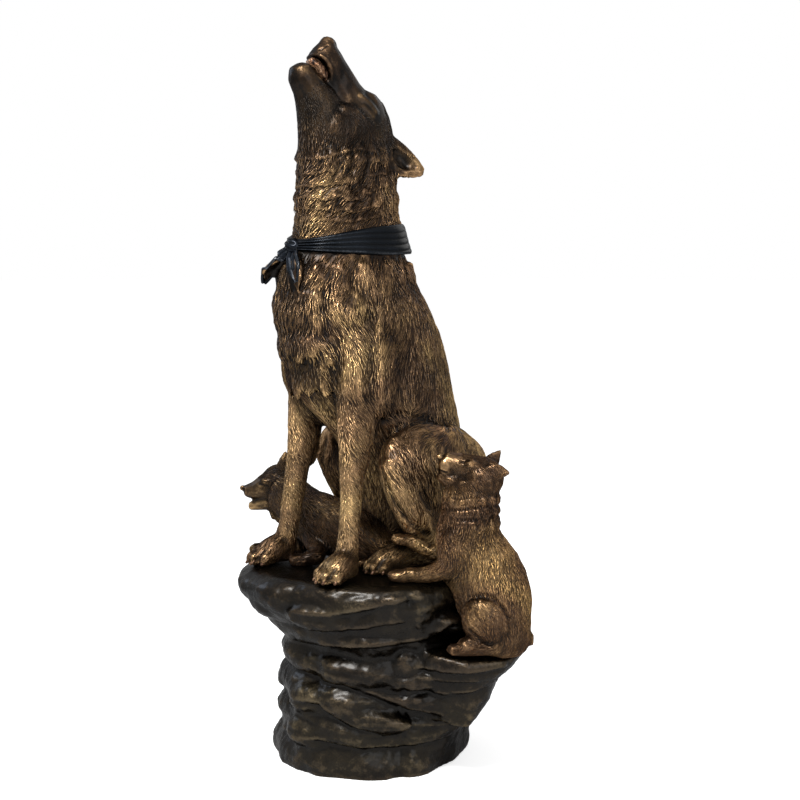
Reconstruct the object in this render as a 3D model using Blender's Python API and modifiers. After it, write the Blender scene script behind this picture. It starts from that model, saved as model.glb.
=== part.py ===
"""Bronze group: a seated wolf howling, with a neckerchief, and two pups on a rock.

Four castings: the rock, the wolf, the pup that sits on the ledge and the pup that lies under the wolf.
Metres, +Z up, the wolf faces -Y, and the origin is the middle of the rock's flat underside.
"""

import math

import bmesh
import bpy
from mathutils import Euler, Matrix, Vector

# Rock: its two seat planes, its foot's radius, and where its ledge's middle lies
ROCK_TOP = 0.455
LEDGE_TOP = 0.30
ROCK_RADIUS = 0.235
LEDGE_OUT = 0.21
LEDGE_FORWARD = -0.12

# The ledge and the pup on it are turned about the rock's axis: left to right, and front to back
LEDGE_TURN = -40.0
LEDGE_SIDE = Matrix.Rotation(math.radians(LEDGE_TURN), 3, "Z") @ Vector((0, 1, 0))
LEDGE_BACK = Matrix.Rotation(math.radians(LEDGE_TURN), 3, "Z") @ Vector((-1, 0, 0))

# Wolf: from the rock's top to its nose, and the height its stations are drawn at
WOLF_HEIGHT = 1.197
WOLF_DRAWN = 1.197
PAW_WIDTH = 0.088
FORELEG_SPREAD = 0.116
EAR_LENGTH = 0.088
TAIL_THICKNESS = 0.09

# Kerchief: height of the band at the nape and at the throat, and how far it stands off the neck
BAND_BACK = 0.066
BAND_FRONT = 0.024
BAND_THICKNESS = 0.005

# Pups: ear tip above the ledge, poll above the rock, the heights that their stations are drawn at,
# and how far in front of the rock's axis the first one sits and how far behind it the other's head lies
SITTING_PUP_HEIGHT = 0.441
SITTING_PUP_DRAWN = 0.441
SITTING_PUP_FORWARD = 0.195
LYING_PUP_HEIGHT = 0.23
LYING_PUP_DRAWN = 0.23
LYING_HEAD_BACK = 0.163

# Trunk of the wolf: height above the rock, front, back and half width
TRUNK = (
    (-0.02, 0.030, 0.265, 0.100), (0.05, 0.020, 0.275, 0.122), (0.15, 0.000, 0.270, 0.128),
    (0.25, -0.048, 0.258, 0.128), (0.32, -0.105, 0.246, 0.126), (0.38, -0.168, 0.234, 0.127),
    (0.45, -0.218, 0.216, 0.128), (0.53, -0.241, 0.187, 0.130), (0.61, -0.253, 0.144, 0.126),
    (0.69, -0.235, 0.105, 0.114), (0.74, -0.209, 0.085, 0.102), (0.84, -0.192, 0.0545, 0.090),
    (0.90, -0.185, 0.049, 0.085), (0.955, -0.188, 0.046, 0.082), (1.00, -0.192, 0.035, 0.072),
)

# Fitting between castings
SEAT_GAP = 0.0004

# Mesh grain: the clay's voxel and the triangles each casting may keep
ROCK_VOXEL, ROCK_TRIANGLES = 0.007, 2300
WOLF_VOXEL, WOLF_TRIANGLES = 0.005, 5150
PUP_VOXEL, PUP_TRIANGLES = 0.0035, 1550

RING = 24


def clear_scene():
    for old in list(bpy.data.objects):
        bpy.data.objects.remove(old)


def smooth_path(stations, between):
    """Catmull-Rom points through the stations, which may be tuples of any length."""
    points = [Vector(s) for s in stations]
    if len(points) < 3:
        return points
    path = []
    for i in range(len(points) - 1):
        before = points[max(i - 1, 0)]
        start, end = points[i], points[i + 1]
        after = points[min(i + 2, len(points) - 1)]
        for k in range(between):
            t = k / between
            path.append(
                0.5 * (2 * start + (end - before) * t
                       + (2 * before - 5 * start + 4 * end - after) * t ** 2
                       + (3 * start - before - 3 * end + after) * t ** 3)
            )
    path.append(points[-1])
    return path


def loft(bm, rings):
    """A closed skin over rings of points, each ring as long as the next, with a pole at each end."""
    rows = [[bm.verts.new(p) for p in ring] for ring in rings]
    count = len(rows[0])
    for low, high in zip(rows, rows[1:]):
        for k in range(count):
            n = (k + 1) % count
            bm.faces.new((low[k], low[n], high[n], high[k]))
    bm.faces.new(list(reversed(rows[0])))
    bm.faces.new(rows[-1])


def limb(bm, stations, side=Vector((1, 0, 0)), between=3, dome=0.6):
    """A limb of oval rings square to its path. A station is x, y, z, half width along side, half depth."""
    path = smooth_path(stations, between)
    centres = [Vector(s[:3]) for s in path]
    rings = []
    for i, station in enumerate(path):
        ahead = centres[min(i + 1, len(path) - 1)] - centres[max(i - 1, 0)]
        along = ahead.normalized()
        across = (side - side.dot(along) * along).normalized()
        up = along.cross(across)
        half_width, half_depth = station[3], station[4]
        lifts = [(0.0, 1.0)]
        reach = min(half_width, half_depth) * dome
        turns = [math.radians(a) for a in (80, 60, 30)]
        if i == 0:
            lifts = [(-reach * math.sin(a), math.cos(a)) for a in turns] + lifts
        if i == len(path) - 1:
            lifts = lifts + [(reach * math.sin(a), math.cos(a)) for a in reversed(turns)]
        for lift, share in lifts:
            ring = []
            for k in range(RING):
                a = 2 * math.pi * k / RING
                ring.append(centres[i] + along * lift
                            + across * half_width * share * math.cos(a)
                            + up * half_depth * share * math.sin(a))
            rings.append(ring)
    loft(bm, rings)


def up(height):
    """Height in the group of a height drawn on the wolf."""
    return ROCK_TOP + height * WOLF_HEIGHT / WOLF_DRAWN


def trunk_at(height):
    """Middle, half depth and half width of the trunk at a drawn height."""
    for low, high in zip(TRUNK, TRUNK[1:]):
        if low[0] <= height <= high[0]:
            share = (height - low[0]) / (high[0] - low[0])
            front, back, half = (a + (b - a) * share for a, b in zip(low[1:], high[1:]))
            return (front + back) / 2, (back - front) / 2, half
    raise ValueError(height)


def body(bm):
    """The wolf's trunk and neck, of level oval sections."""
    stations = [(0, (front + back) / 2, up(height), half, (back - front) / 2) for height, front, back,
                half in TRUNK]
    rings = []
    for x, y, z, half_width, half_depth in smooth_path(stations, 3):
        rings.append([Vector((x + half_width * math.cos(2 * math.pi * k / RING),
                              y + half_depth * math.sin(2 * math.pi * k / RING), z))
                      for k in range(RING)])
    loft(bm, rings)


def blob(bm, centre, radii, turn=(0, 0, 0)):
    """An ellipsoid of clay."""
    rotation = Euler([math.radians(a) for a in turn]).to_matrix().to_4x4()
    matrix = Matrix.Translation(centre) @ rotation @ Matrix.Diagonal((*radii, 1))
    bmesh.ops.create_uvsphere(bm, u_segments=16, v_segments=10, radius=1, matrix=matrix)


def made(name, bm, collection, modifiers=()):
    """A mesh object from a bmesh, with its modifiers applied."""
    bmesh.ops.recalc_face_normals(bm, faces=bm.faces)
    mesh = bpy.data.meshes.new(name)
    bm.to_mesh(mesh)
    bm.free()
    obj = bpy.data.objects.new(name, mesh)
    collection.objects.link(obj)
    for kind, values in modifiers:
        modifier = obj.modifiers.new(kind.title(), kind)
        for key, value in values.items():
            setattr(modifier, key, value)
    return baked(obj)


def baked(obj):
    """The object with its modifiers made into its mesh."""
    graph = bpy.context.evaluated_depsgraph_get()
    mesh = bpy.data.meshes.new_from_object(obj.evaluated_get(graph))
    obj.modifiers.clear()
    obj.data = mesh
    return obj


def modelled(name, bm, collection, voxel, smoothing, triangles):
    """Lumps of clay joined into one skin, smoothed, and thinned to a number of triangles."""
    obj = made(name, bm, collection, [
        ("REMESH", {"mode": "VOXEL", "voxel_size": voxel}),
        ("SMOOTH", {"factor": 0.5, "iterations": smoothing}),
        ("TRIANGULATE", {}),
    ])
    ratio = min(1.0, triangles / len(obj.data.polygons))
    modifier = obj.modifiers.new("Decimate", "DECIMATE")
    modifier.ratio = ratio
    return baked(obj)


def cut(obj, *cutters):
    """Takes the cutters away from an object."""
    for cutter in cutters:
        modifier = obj.modifiers.new("Cut", "BOOLEAN")
        modifier.operation = "DIFFERENCE"
        modifier.solver = "EXACT"
        modifier.object = cutter
    return baked(obj)


def box(name, low, high, collection):
    """A plain block between two corners."""
    bm = bmesh.new()
    size = [b - a for a, b in zip(low, high)]
    centre = [(a + b) / 2 for a, b in zip(low, high)]
    bmesh.ops.create_cube(bm, size=1, matrix=Matrix.Translation(centre) @ Matrix.Diagonal((*size, 1)))
    return made(name, bm, collection)


def swollen(obj, gap, collection):
    """A copy of a casting, larger by the gap all round, that its neighbours are trimmed with."""
    bm = bmesh.new()
    bm.from_mesh(obj.data)
    bm.normal_update()
    moves = [v.normal * gap for v in bm.verts]
    for v, move in zip(bm.verts, moves):
        v.co += move
    return made(obj.name + "_clearance", bm, collection)


def rock_level(level):
    """Height of a level of the rock: 0 is the ground, 1 the ledge's top and 2 the rock's top."""
    return LEDGE_TOP * level if level < 1 else LEDGE_TOP + (ROCK_TOP - LEDGE_TOP) * (level - 1)


def contour(bm, centre, rings, phase=0.0, wobble=0.008, cracks=()):
    """Rock skin through level outlines: each its level, then its reach left, right, front and back.

    Reaches are shares of ROCK_RADIUS. Left and right run along LEDGE_SIDE, front and back across it.
    A crack is its angle, width and depth.
    """
    rows = []
    for ring in smooth_path(rings, 2):
        height = rock_level(ring[0])
        left, right, front, back = (share * ROCK_RADIUS for share in ring[1:])
        row = []
        for k in range(96):
            a = 2 * math.pi * k / 96
            c, s = math.cos(a), math.sin(a)
            reach = Vector(((right if c > 0 else left) * c, (back if s > 0 else front) * s))
            waves = math.sin(3 * a + phase + 9 * height) + 0.8 * math.sin(5 * a - 14 * height + 2 * phase)
            waves += 0.5 * math.sin(11 * a + 21 * height)
            swell = 1 + wobble / 0.25 * waves
            for where, width, depth in cracks:
                off = (a - math.radians(where) + math.pi) % (2 * math.pi) - math.pi
                swell -= depth / 0.25 * math.exp(-(off / math.radians(width)) ** 2)
            level_part = min(1.0, max(0.0, height / 0.06)) * min(1.0, max(0.0, (0.40 - height) / 0.05))
            sag = 0.010 * math.sin(2 * a + 1.0) * level_part
            flat = LEDGE_SIDE * (centre[0] + reach.x * swell) + LEDGE_BACK * (centre[1] + reach.y * swell)
            row.append(flat + Vector((0, 0, height + sag)))
        rows.append(row)
    loft(bm, rows)


def build_rock(collection, cutters):
    bm = bmesh.new()
    contour(bm, (0, 0), [
        (-0.067, 0.98, 0.94, 0.91, 0.99), (0.000, 1.00, 0.95, 0.92, 0.99),
        (0.100, 1.00, 0.96, 0.94, 0.99), (0.183, 0.94, 0.98, 0.91, 0.98),
        (0.267, 0.90, 1.02, 0.89, 0.97), (0.333, 0.95, 1.09, 0.96, 1.00),
        (0.417, 0.93, 1.15, 0.97, 1.00), (0.493, 0.86, 1.18, 0.93, 0.96),
        (0.550, 0.90, 1.23, 1.01, 1.00), (0.633, 0.90, 1.27, 1.03, 1.00),
        (0.707, 0.86, 1.25, 1.00, 0.99), (0.753, 0.80, 1.26, 0.97, 0.97),
        (0.807, 0.85, 1.29, 1.06, 1.02), (0.873, 0.87, 1.27, 1.09, 1.04),
        (0.940, 0.83, 1.19, 1.03, 1.01), (0.993, 0.86, 1.10, 1.01, 1.02),
        (1.116, 0.94, 1.08, 1.13, 1.08), (1.245, 1.01, 1.06, 1.16, 1.11),
        (1.323, 1.04, 1.03, 1.12, 1.09), (1.426, 1.11, 1.07, 1.20, 1.14),
        (1.581, 1.23, 1.11, 1.24, 1.18), (1.723, 1.30, 1.13, 1.27, 1.20),
        (1.839, 1.29, 1.12, 1.26, 1.19), (1.923, 1.23, 1.09, 1.23, 1.16),
        (1.981, 1.17, 1.04, 1.17, 1.11), (2.000, 1.11, 1.00, 1.12, 1.06),
    ], phase=0.4, cracks=((-72, 3.5, 0.014), (-128, 5, 0.010), (165, 6, 0.012)))
    contour(bm, (LEDGE_OUT, LEDGE_FORWARD), [
        (0.433, 0.51, 0.13, 0.43, 0.68), (0.550, 0.60, 0.26, 0.48, 0.77),
        (0.667, 0.60, 0.33, 0.52, 0.77), (0.767, 0.60, 0.37, 0.54, 0.77),
        (0.813, 0.60, 0.45, 0.59, 0.77), (0.873, 0.60, 0.56, 0.65, 0.77),
        (0.947, 0.60, 0.62, 0.68, 0.77), (0.987, 0.60, 0.63, 0.67, 0.77),
        (1.000, 0.60, 0.59, 0.64, 0.72),
    ], phase=2.0, wobble=0.003)
    # Boulders that break the layers, on the front and at the lower left
    for r, d, level, radii, turn in (
        (-0.49, -0.64, 0.60, (0.075, 0.055, 0.045), (10, -14, 35)), (-0.51, -0.62, 0.30,
                                                                     (0.075, 0.055, 0.045), (0, 12, 40)),
        (-0.26, -0.94, 1.55, (0.13, 0.06, 0.042), (4, 0, 50)), (-0.81, -0.55, 1.61, (0.09, 0.07, 0.045),
                                                                (0, -5, 20)),
        (0.51, -0.89, 1.42, (0.11, 0.045, 0.028), (0, 6, 50)), (0.43, -0.91, 0.78, (0.075, 0.04, 0.022),
                                                                (0, -6, 56)),
        (0.47, -0.85, 0.62, (0.08, 0.04, 0.024), (0, 5, 54)), (0.09, -0.94, 0.47, (0.08, 0.03, 0.024),
                                                               (0, 8, 48)),
        (0.60, 0.55, 1.39, (0.10, 0.09, 0.06), (0, 0, 30)), (-0.51, 0.58, 0.67, (0.06, 0.08, 0.06),
                                                             (0, 10, 10)),
        (0.17, 0.82, 1.00, (0.12, 0.05, 0.05), (0, 4, 50)), (0.50, 0.68, 0.43, (0.09, 0.06, 0.06),
                                                             (0, 0, 70)),
    ):
        blob(bm, (LEDGE_SIDE * r + LEDGE_BACK * d) * ROCK_RADIUS + Vector((0, 0, rock_level(level))),
             radii, turn)
    rock = modelled("rock_base", bm, collection, ROCK_VOXEL, 3, ROCK_TRIANGLES)
    cut(rock, box("ground", (-1, -1, -0.2), (1, 1, 0), cutters),
        box("seat_plane", (-1, -1, ROCK_TOP), (1, 1, 2), cutters))
    return rock


def hind_leg(bm, side, thigh_back, shin_back, foot_back):
    """A hind leg folded under the wolf: thigh, shin, long foot and paw."""
    def at(x, y, h, a, b, back=thigh_back):
        return (side * x, y + back, up(h), a, b)
    limb(bm, [at(0.080, 0.185, 0.160, 0.090, 0.130), at(0.108, 0.110, 0.195, 0.084, 0.135),
              at(0.126, 0.030, 0.230, 0.066, 0.110), at(0.136, -0.025, 0.256, 0.05, 0.078),
              at(0.140, -0.050, 0.266, 0.036, 0.050)])
    limb(bm, [at(0.143, -0.044, 0.26, 0.036, 0.042), at(0.147, -0.022, 0.18, 0.036, 0.042, shin_back),
              at(0.146, 0.026, 0.10, 0.033, 0.040, shin_back), at(0.14, 0.075, 0.045, 0.03, 0.034,
                                                                  foot_back)])
    limb(bm, [at(0.14, 0.12, 0.032, 0.028, 0.034, foot_back),
              at(0.134, 0.05, 0.040, 0.029, 0.036, foot_back),
              at(0.124, -0.01, 0.036, 0.032, 0.032, foot_back), at(0.116, -0.045, 0.03, 0.036, 0.03,
                                                                   foot_back)])
    paw(bm, Vector((side * 0.114, -0.035 + foot_back, ROCK_TOP)), side * 8, PAW_WIDTH * 0.88)


def paw(bm, heel, splay, width):
    """A paw flat on the rock: the pad and four toes, drawn in shares of its width."""
    turn = Matrix.Rotation(math.radians(splay), 3, "Z")
    def at(x, y, h, a, b):
        return (*(heel + turn @ Vector((x, y, h)) * width), a * width, b * width)
    side = turn @ Vector((1, 0, 0))
    limb(bm, [at(0, 0.11, 0.34, 0.33, 0.34), at(0, -0.17, 0.39, 0.40, 0.38),
              at(0, -0.50, 0.27, 0.42, 0.28)], side)
    for place, reach in ((-1.5, 0.64), (-0.5, 0.83), (0.5, 0.83), (1.5, 0.64)):
        limb(bm, [at(place * 0.19, -0.34, 0.30, 0.12, 0.20),
                  at(place * 0.225, -reach, 0.20, 0.123, 0.188)], side, dome=1.0)


def foreleg(bm, side, splay):
    """Shoulder, straight foreleg and paw. Stations lie at shares of the paws' spread."""
    def at(x, y, h, a, b):
        return (side * x * FORELEG_SPREAD, y, up(h), a, b)
    blob(bm, at(0.79, -0.085, 0.47, 0, 0)[:3], (0.055, 0.088, 0.135))
    limb(bm, [at(0.71, -0.075, 0.52, 0.055, 0.09), at(0.74, -0.100, 0.42, 0.047, 0.064),
              at(0.77, -0.114, 0.36, 0.038, 0.049), at(0.80, -0.125, 0.30, 0.031, 0.038),
              at(0.845, -0.134, 0.24, 0.026, 0.030), at(0.90, -0.144, 0.16, 0.023, 0.0255),
              at(0.95, -0.155, 0.09, 0.0225, 0.024), at(0.985, -0.163, 0.05, 0.026, 0.027),
              at(1.0, -0.168, 0.02, 0.030, 0.028)])
    paw(bm, Vector((side * FORELEG_SPREAD * 1.02, -0.172, ROCK_TOP)), side * splay, PAW_WIDTH)


def tuft(bm, root, tip, width, thickness, facing):
    """A pointed lock of fur from its root to its tip."""
    root, tip = Vector(root), Vector(tip)
    side = (tip - root).cross(Vector(facing)).normalized()
    limb(bm, [(*root, width * 0.55, thickness), (*root.lerp(tip, 0.45), width, thickness),
              (*tip, width * 0.12, thickness * 0.25)], side, dome=0.8)


def ruff(bm, height, drop, flare, count, width, thickness, angles=(0, 360), start=0.0):
    """A row of locks hanging round the wolf's trunk at a drawn height."""
    middle, deep, wide = trunk_at(height)
    first, last = angles
    for k in range(count):
        a = math.radians(first + (last - first) * (k + start) / count)
        uneven = 1 + 0.18 * math.sin(2.7 * k + height * 40)
        at = Vector((wide * math.cos(a), middle + deep * math.sin(a), up(height)))
        facing = Vector((math.cos(a) / wide, math.sin(a) / deep, 0)).normalized()
        root = at - facing * thickness * 0.7 + Vector((0, 0, drop * 0.45))
        tip = at + facing * flare + Vector((0, 0, -drop * 0.6 * uneven))
        tuft(bm, root, tip, width * uneven, thickness, facing)


def kerchief(bm):
    """The folded band, its knot and two hanging ends."""
    rows = []
    sides, section = 48, 12
    for k in range(sides):
        a = 2 * math.pi * k / sides
        front = (1 - math.sin(a)) / 2
        half = (BAND_BACK + (BAND_FRONT - BAND_BACK) * front ** 3) / 2
        ring = []
        for j in range(section):
            t = 2 * math.pi * j / section
            height = 0.752 - 0.012 * front ** 2 + half * math.sin(t)
            middle, deep, wide = trunk_at(height)
            swell = (1 + 0.4 * math.cos(3 * t + 0.5 * math.sin(2 * a))) * math.cos(t) * BAND_THICKNESS
            ring.append(Vector(((wide + swell) * math.cos(a), middle + (deep + swell) * math.sin(a),
                                up(height))))
        rows.append([bm.verts.new(p) for p in ring])
    for this, after in zip(rows, rows[1:] + rows[:1]):
        for j in range(section):
            m = (j + 1) % section
            bm.faces.new((this[j], after[j], after[m], this[m]))
    knot = Vector((-0.008, -0.214, up(0.737)))
    blob(bm, knot, (0.020, 0.016, 0.016), (10, 0, 0))
    # Hanging ends: a leaf that stands off the chest and a longer one that lies along it
    limb(bm, [(*knot, 0.010, 0.008), (-0.034, -0.232, up(0.712), 0.016, 0.009),
              (-0.058, -0.243, up(0.685), 0.021, 0.008),
              (-0.074, -0.244, up(0.655), 0.007, 0.005)], side=Vector((0.55, 0.45, 0.7)))
    limb(bm, [(*knot, 0.010, 0.008), (0.016, -0.232, up(0.712), 0.015, 0.008),
              (0.038, -0.242, up(0.68), 0.018, 0.008),
              (0.052, -0.247, up(0.642), 0.006, 0.005)], side=Vector((0.9, 0.2, 0.3)))


def wolf_head(bm):
    """Skull and muzzle, lower jaw, nose, brows, cheeks and ears."""
    def at(y, h, a, b):
        return (0, y, up(h), a, b)
    limb(bm, [at(-0.052, 0.93, 0.080, 0.098), at(-0.050, 0.985, 0.076, 0.100),
              at(-0.057, 1.03, 0.066, 0.085),
              at(-0.076, 1.062, 0.052, 0.054), at(-0.100, 1.108, 0.038, 0.041),
              at(-0.126, 1.139, 0.036, 0.042), at(-0.144, 1.157, 0.032, 0.042)])
    limb(bm, [at(-0.125, 0.98, 0.062, 0.070), at(-0.150, 1.04, 0.050, 0.050),
              at(-0.176, 1.082, 0.038, 0.036),
              at(-0.193, 1.106, 0.034, 0.032), at(-0.198, 1.122, 0.030, 0.026)])
    blob(bm, (0, -0.121, up(1.180)), (0.021, 0.021, 0.018), (-38, 0, 0))
    for side in (1, -1):
        blob(bm, (side * 0.036, -0.030, up(1.056)), (0.021, 0.030, 0.020), (-38, 0, 0))
        blob(bm, (side * 0.046, -0.100, up(0.985)), (0.032, 0.065, 0.065))
        root = ear_root(side)
        lean = Vector((side * 0.42, 0.78, -0.42)).normalized()
        limb(bm, [(*(root + lean * EAR_LENGTH * t), w * EAR_LENGTH, thick * EAR_LENGTH)
                  for t, w, thick in ((0.0, 0.53, 0.27), (0.38, 0.48, 0.18), (0.76, 0.34, 0.125),
                                      (1.1, 0.15, 0.09))],
             side=Vector((side * 0.15, -0.35, -1)))


def ear_root(side):
    return Vector((side * 0.046, 0.005, up(0.944)))


def wolf_fur(bm, stances):
    """Rows of locks on the neck and the chest, and on the breeches and elbows."""
    ruff(bm, 0.930, 0.055, 0.005, 20, 0.018, 0.010, start=0.3)
    ruff(bm, 0.885, 0.050, 0.004, 20, 0.018, 0.010)
    ruff(bm, 0.840, 0.050, 0.004, 20, 0.018, 0.010, start=0.5)
    ruff(bm, 0.665, 0.060, 0.002, 18, 0.024, 0.010, start=0.2)
    ruff(bm, 0.600, 0.070, 0.000, 12, 0.026, 0.011, angles=(180, 360), start=0.4)
    ruff(bm, 0.525, 0.070, -0.001, 12, 0.026, 0.011, angles=(185, 355))
    ruff(bm, 0.445, 0.075, -0.002, 7, 0.026, 0.012, angles=(215, 325), start=0.5)
    for side, thigh_back, *_ in stances:
        for k in range(4):
            y, h = -0.045 + 0.022 * k + thigh_back, 0.19 - 0.04 * k
            tuft(bm, (side * 0.145, y, up(h + 0.03)), (side * 0.148, y + 0.006, up(h - 0.035)), 0.018,
                 0.012, (side, 0, 0))
        for k in range(3):
            h = 0.36 - 0.045 * k
            tuft(bm, (side * 0.092, -0.075 - 0.008 * k, up(h + 0.02)),
                 (side * 0.095, -0.073 - 0.012 * k, up(h - 0.05)),
                 0.014, 0.012, (side, 0, 0))


def build_wolf(collection, cutters):
    bm = bmesh.new()
    body(bm)
    # Each side, and how far its thigh, shin and hind foot lie back
    stances = ((1, 0.0, 0.0, 0.0), (-1, 0.042, 0.066, 0.095))
    for side, thigh_back, shin_back, foot_back in stances:
        hind_leg(bm, side, thigh_back, shin_back, foot_back)
        foreleg(bm, side, 9)
    # Tail, laid round the far side
    thick = TAIL_THICKNESS / 2
    limb(bm, [(0.02, 0.235, ROCK_TOP + 0.06, 0.9 * thick, 1.1 * thick),
              (-0.05, 0.262, ROCK_TOP + 0.036, thick, 0.9 * thick),
              (-0.12, 0.245, ROCK_TOP + 0.032, thick, 0.8 * thick), (-0.185, 0.185, ROCK_TOP + 0.030,
                                                                     0.9 * thick, 0.73 * thick),
              (-0.215, 0.115, ROCK_TOP + 0.024, 0.5 * thick, 0.53 * thick)], side=Vector((0, 1, 0)))
    wolf_head(bm)
    wolf_fur(bm, stances)
    kerchief(bm)
    wolf = modelled("wolf", bm, collection, WOLF_VOXEL, 1, WOLF_TRIANGLES)
    # Hollows: the ears, the sides and front of the howling mouth, and the seat
    bm = bmesh.new()
    for side in (1, -1):
        cup = ear_root(side) + Vector((side * 0.032, 0.033, -0.014)) * (EAR_LENGTH / 0.088)
        blob(bm, cup, (0.012, 0.036, 0.022), (-24, 0, side * -28))
    ears = made("ear_hollows", bm, cutters)
    bm = bmesh.new()
    blob(bm, (0, -0.160, up(1.126)), (0.060, 0.017, 0.036), (38, 0, 0))
    mouth = made("mouth_sides", bm, cutters)
    bm = bmesh.new()
    blob(bm, (0, -0.176, up(1.148)), (0.017, 0.012, 0.040), (38, 0, 0))
    lips = made("mouth_front", bm, cutters)
    return cut(wolf, ears, mouth, lips, box("wolf_seat", (-1, -1, 0), (1, 1, ROCK_TOP + SEAT_GAP), cutters))


def small_paw(bm, place, heel, ahead, scale):
    """A pup's paw: three lumps of toe in front of a pad, in the pup's own axes."""
    heel, ahead = Vector(heel), Vector(ahead).normalized()
    side = Vector((0, 0, 1)).cross(ahead)
    for k in (-1, 0, 1):
        start = heel + side * (k * 0.008 * scale)
        end = heel + ahead * ((0.026 if k == 0 else 0.021) * scale) + side * (k * 0.011 * scale)
        limb(bm, [place(*start, 0.009 * scale, 0.012 * scale), place(*end, 0.0088 * scale, 0.0105 * scale)],
             side=place.turn @ side, dome=1.0)


class Place:
    """Turns a pup's own drawing into the group's axes: the pup faces its own -Y."""

    def __init__(self, turn_degrees, at, size):
        self.turn = Matrix.Rotation(math.radians(turn_degrees), 3, "Z")
        self.at = Vector(at)
        self.size = size

    def point(self, x, y, z):
        return self.at + self.turn @ Vector((x, y, z)) * self.size

    def __call__(self, x, y, z, a, b):
        return (*self.point(x, y, z), a * self.size, b * self.size)

    def blob(self, bm, centre, radii, turn=(0, 0, 0)):
        size = [r * self.size for r in radii]
        blob(bm, self.point(*centre), size, (turn[0], turn[1],
                                             turn[2] + math.degrees(self.turn.to_euler().z)))


def build_sitting_pup(collection, cutters):
    bm = bmesh.new()
    size = SITTING_PUP_HEIGHT / SITTING_PUP_DRAWN
    place = Place(LEDGE_TURN, LEDGE_BACK * -SITTING_PUP_FORWARD + Vector((0, 0, LEDGE_TOP)), size)
    left = place.turn @ Vector((1, 0, 0))
    trunk = [(0.0, .240, .352, .066), (.03, .228, .360, .074), (.07, .205, .362, .076),
             (.11, .190, .361, .074),
             (.15, .172, .350, .070), (.19, .152, .326, .066), (.23, .145, .302, .062), (.26, .146, .290,
                                                                                         .060),
             (.29, .154, .284, .057), (.34, .163, .282, .052), (.375, .178, .282, .047)]
    limb(bm, [place(0, (f + b) / 2, h, w, (b - f) / 2) for h, f, b, w in trunk], side=left, dome=0.3)
    # Head held up, with the nose raised and the mouth a little open
    place.blob(bm, (0, 0.246, 0.384), (0.054, 0.050, 0.048))
    limb(bm, [place(0, 0.248, 0.392, 0.046, 0.040), place(0, 0.212, 0.408, 0.036, 0.030),
              place(0, 0.184, 0.420, 0.026, 0.021), place(0, 0.168, 0.426, 0.021, 0.017)], side=left)
    limb(bm, [place(0, 0.228, 0.370, 0.038, 0.030), place(0, 0.190, 0.378, 0.028, 0.022),
              place(0, 0.164, 0.386, 0.019, 0.016), place(0, 0.154, 0.390, 0.014, 0.011)], side=left)
    for x, y, h in ((0.036, 0.305, 0.402), (-0.030, 0.292, 0.441)):
        tip = Vector((x * 1.25, y, h))
        root = Vector((x * 0.9, 0.262, 0.405))
        limb(bm, [place(*root, 0.022, 0.012), place(*root.lerp(tip, 0.5), 0.017, 0.009),
                  place(*tip, 0.003, 0.003)],
             side=place.turn @ Vector((0.35 if x > 0 else -0.35, 0.5, -0.8)))
    for side in (1, -1):
        place.blob(bm, (side * 0.030, 0.222, 0.419), (0.014, 0.016, 0.011))
        place.blob(bm, (side * 0.056, 0.258, 0.078), (0.037, 0.057, 0.060))
        place.blob(bm, (side * 0.036, 0.190, 0.225), (0.032, 0.042, 0.060))
        limb(bm, [place(side * 0.060, 0.282, 0.020, 0.020, 0.021),
                  place(side * 0.063, 0.235, 0.023, 0.022, 0.023),
                  place(side * 0.064, 0.205, 0.019, 0.024, 0.019)], side=left)
        small_paw(bm, place, (side * 0.062, 0.204, 0.013), (0, -1, 0), 1.05)
    # Forelegs: the near one lies on the rock's top, the far one reaches to the wolf's foot
    lift = (ROCK_TOP - LEDGE_TOP) / size
    limb(bm, [place(0.038, 0.190, 0.205, 0.026, 0.034), place(0.036, 0.150, 0.182, 0.020, 0.022),
              place(0.030, 0.115, lift + 0.017, 0.0165, 0.017), place(0.022, 0.082, lift + 0.016, 0.0175,
                                                                      0.0165)], side=left)
    small_paw(bm, place, (0.021, 0.078, lift + 0.013), (-0.15, -1, 0), 1.15)
    limb(bm, [place(-0.030, 0.185, 0.215, 0.024, 0.030), place(-0.046, 0.140, 0.208, 0.017, 0.018),
              place(-0.054, 0.108, 0.222, 0.015, 0.015), place(-0.058, 0.084, 0.233, 0.015,
                                                               0.014)], side=left)
    small_paw(bm, place, (-0.058, 0.082, 0.233), (0, -1, 0.1), 1.0)
    tuft(bm, place.point(0, 0.340, 0.03), place.point(0, 0.364, 0.006), 0.02, 0.014,
         place.turn @ Vector((1, 0, 0)))
    # Ruff: rows of short locks round the neck
    for z, count, start in ((0.345, 15, 0.0), (0.318, 16, 0.5), (0.290, 16, 0.0)):
        wide = 0.051 + (0.345 - z) * 0.12
        middle = place.point(0, 0.224, z)
        for k in range(count):
            a = 2 * math.pi * (k + start) / count
            out = place.turn @ Vector((math.cos(a), math.sin(a), 0))
            rim = middle + place.turn @ Vector((wide * math.cos(a), 0.062 * math.sin(a), 0))
            tuft(bm, rim - out * 0.006 + Vector((0, 0, 0.010)), rim + out * 0.004 - Vector((0, 0, 0.016)),
                 0.0095, 0.005, out)
    pup = modelled("sitting_pup", bm, collection, PUP_VOXEL, 2, PUP_TRIANGLES)
    return pup


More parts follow.
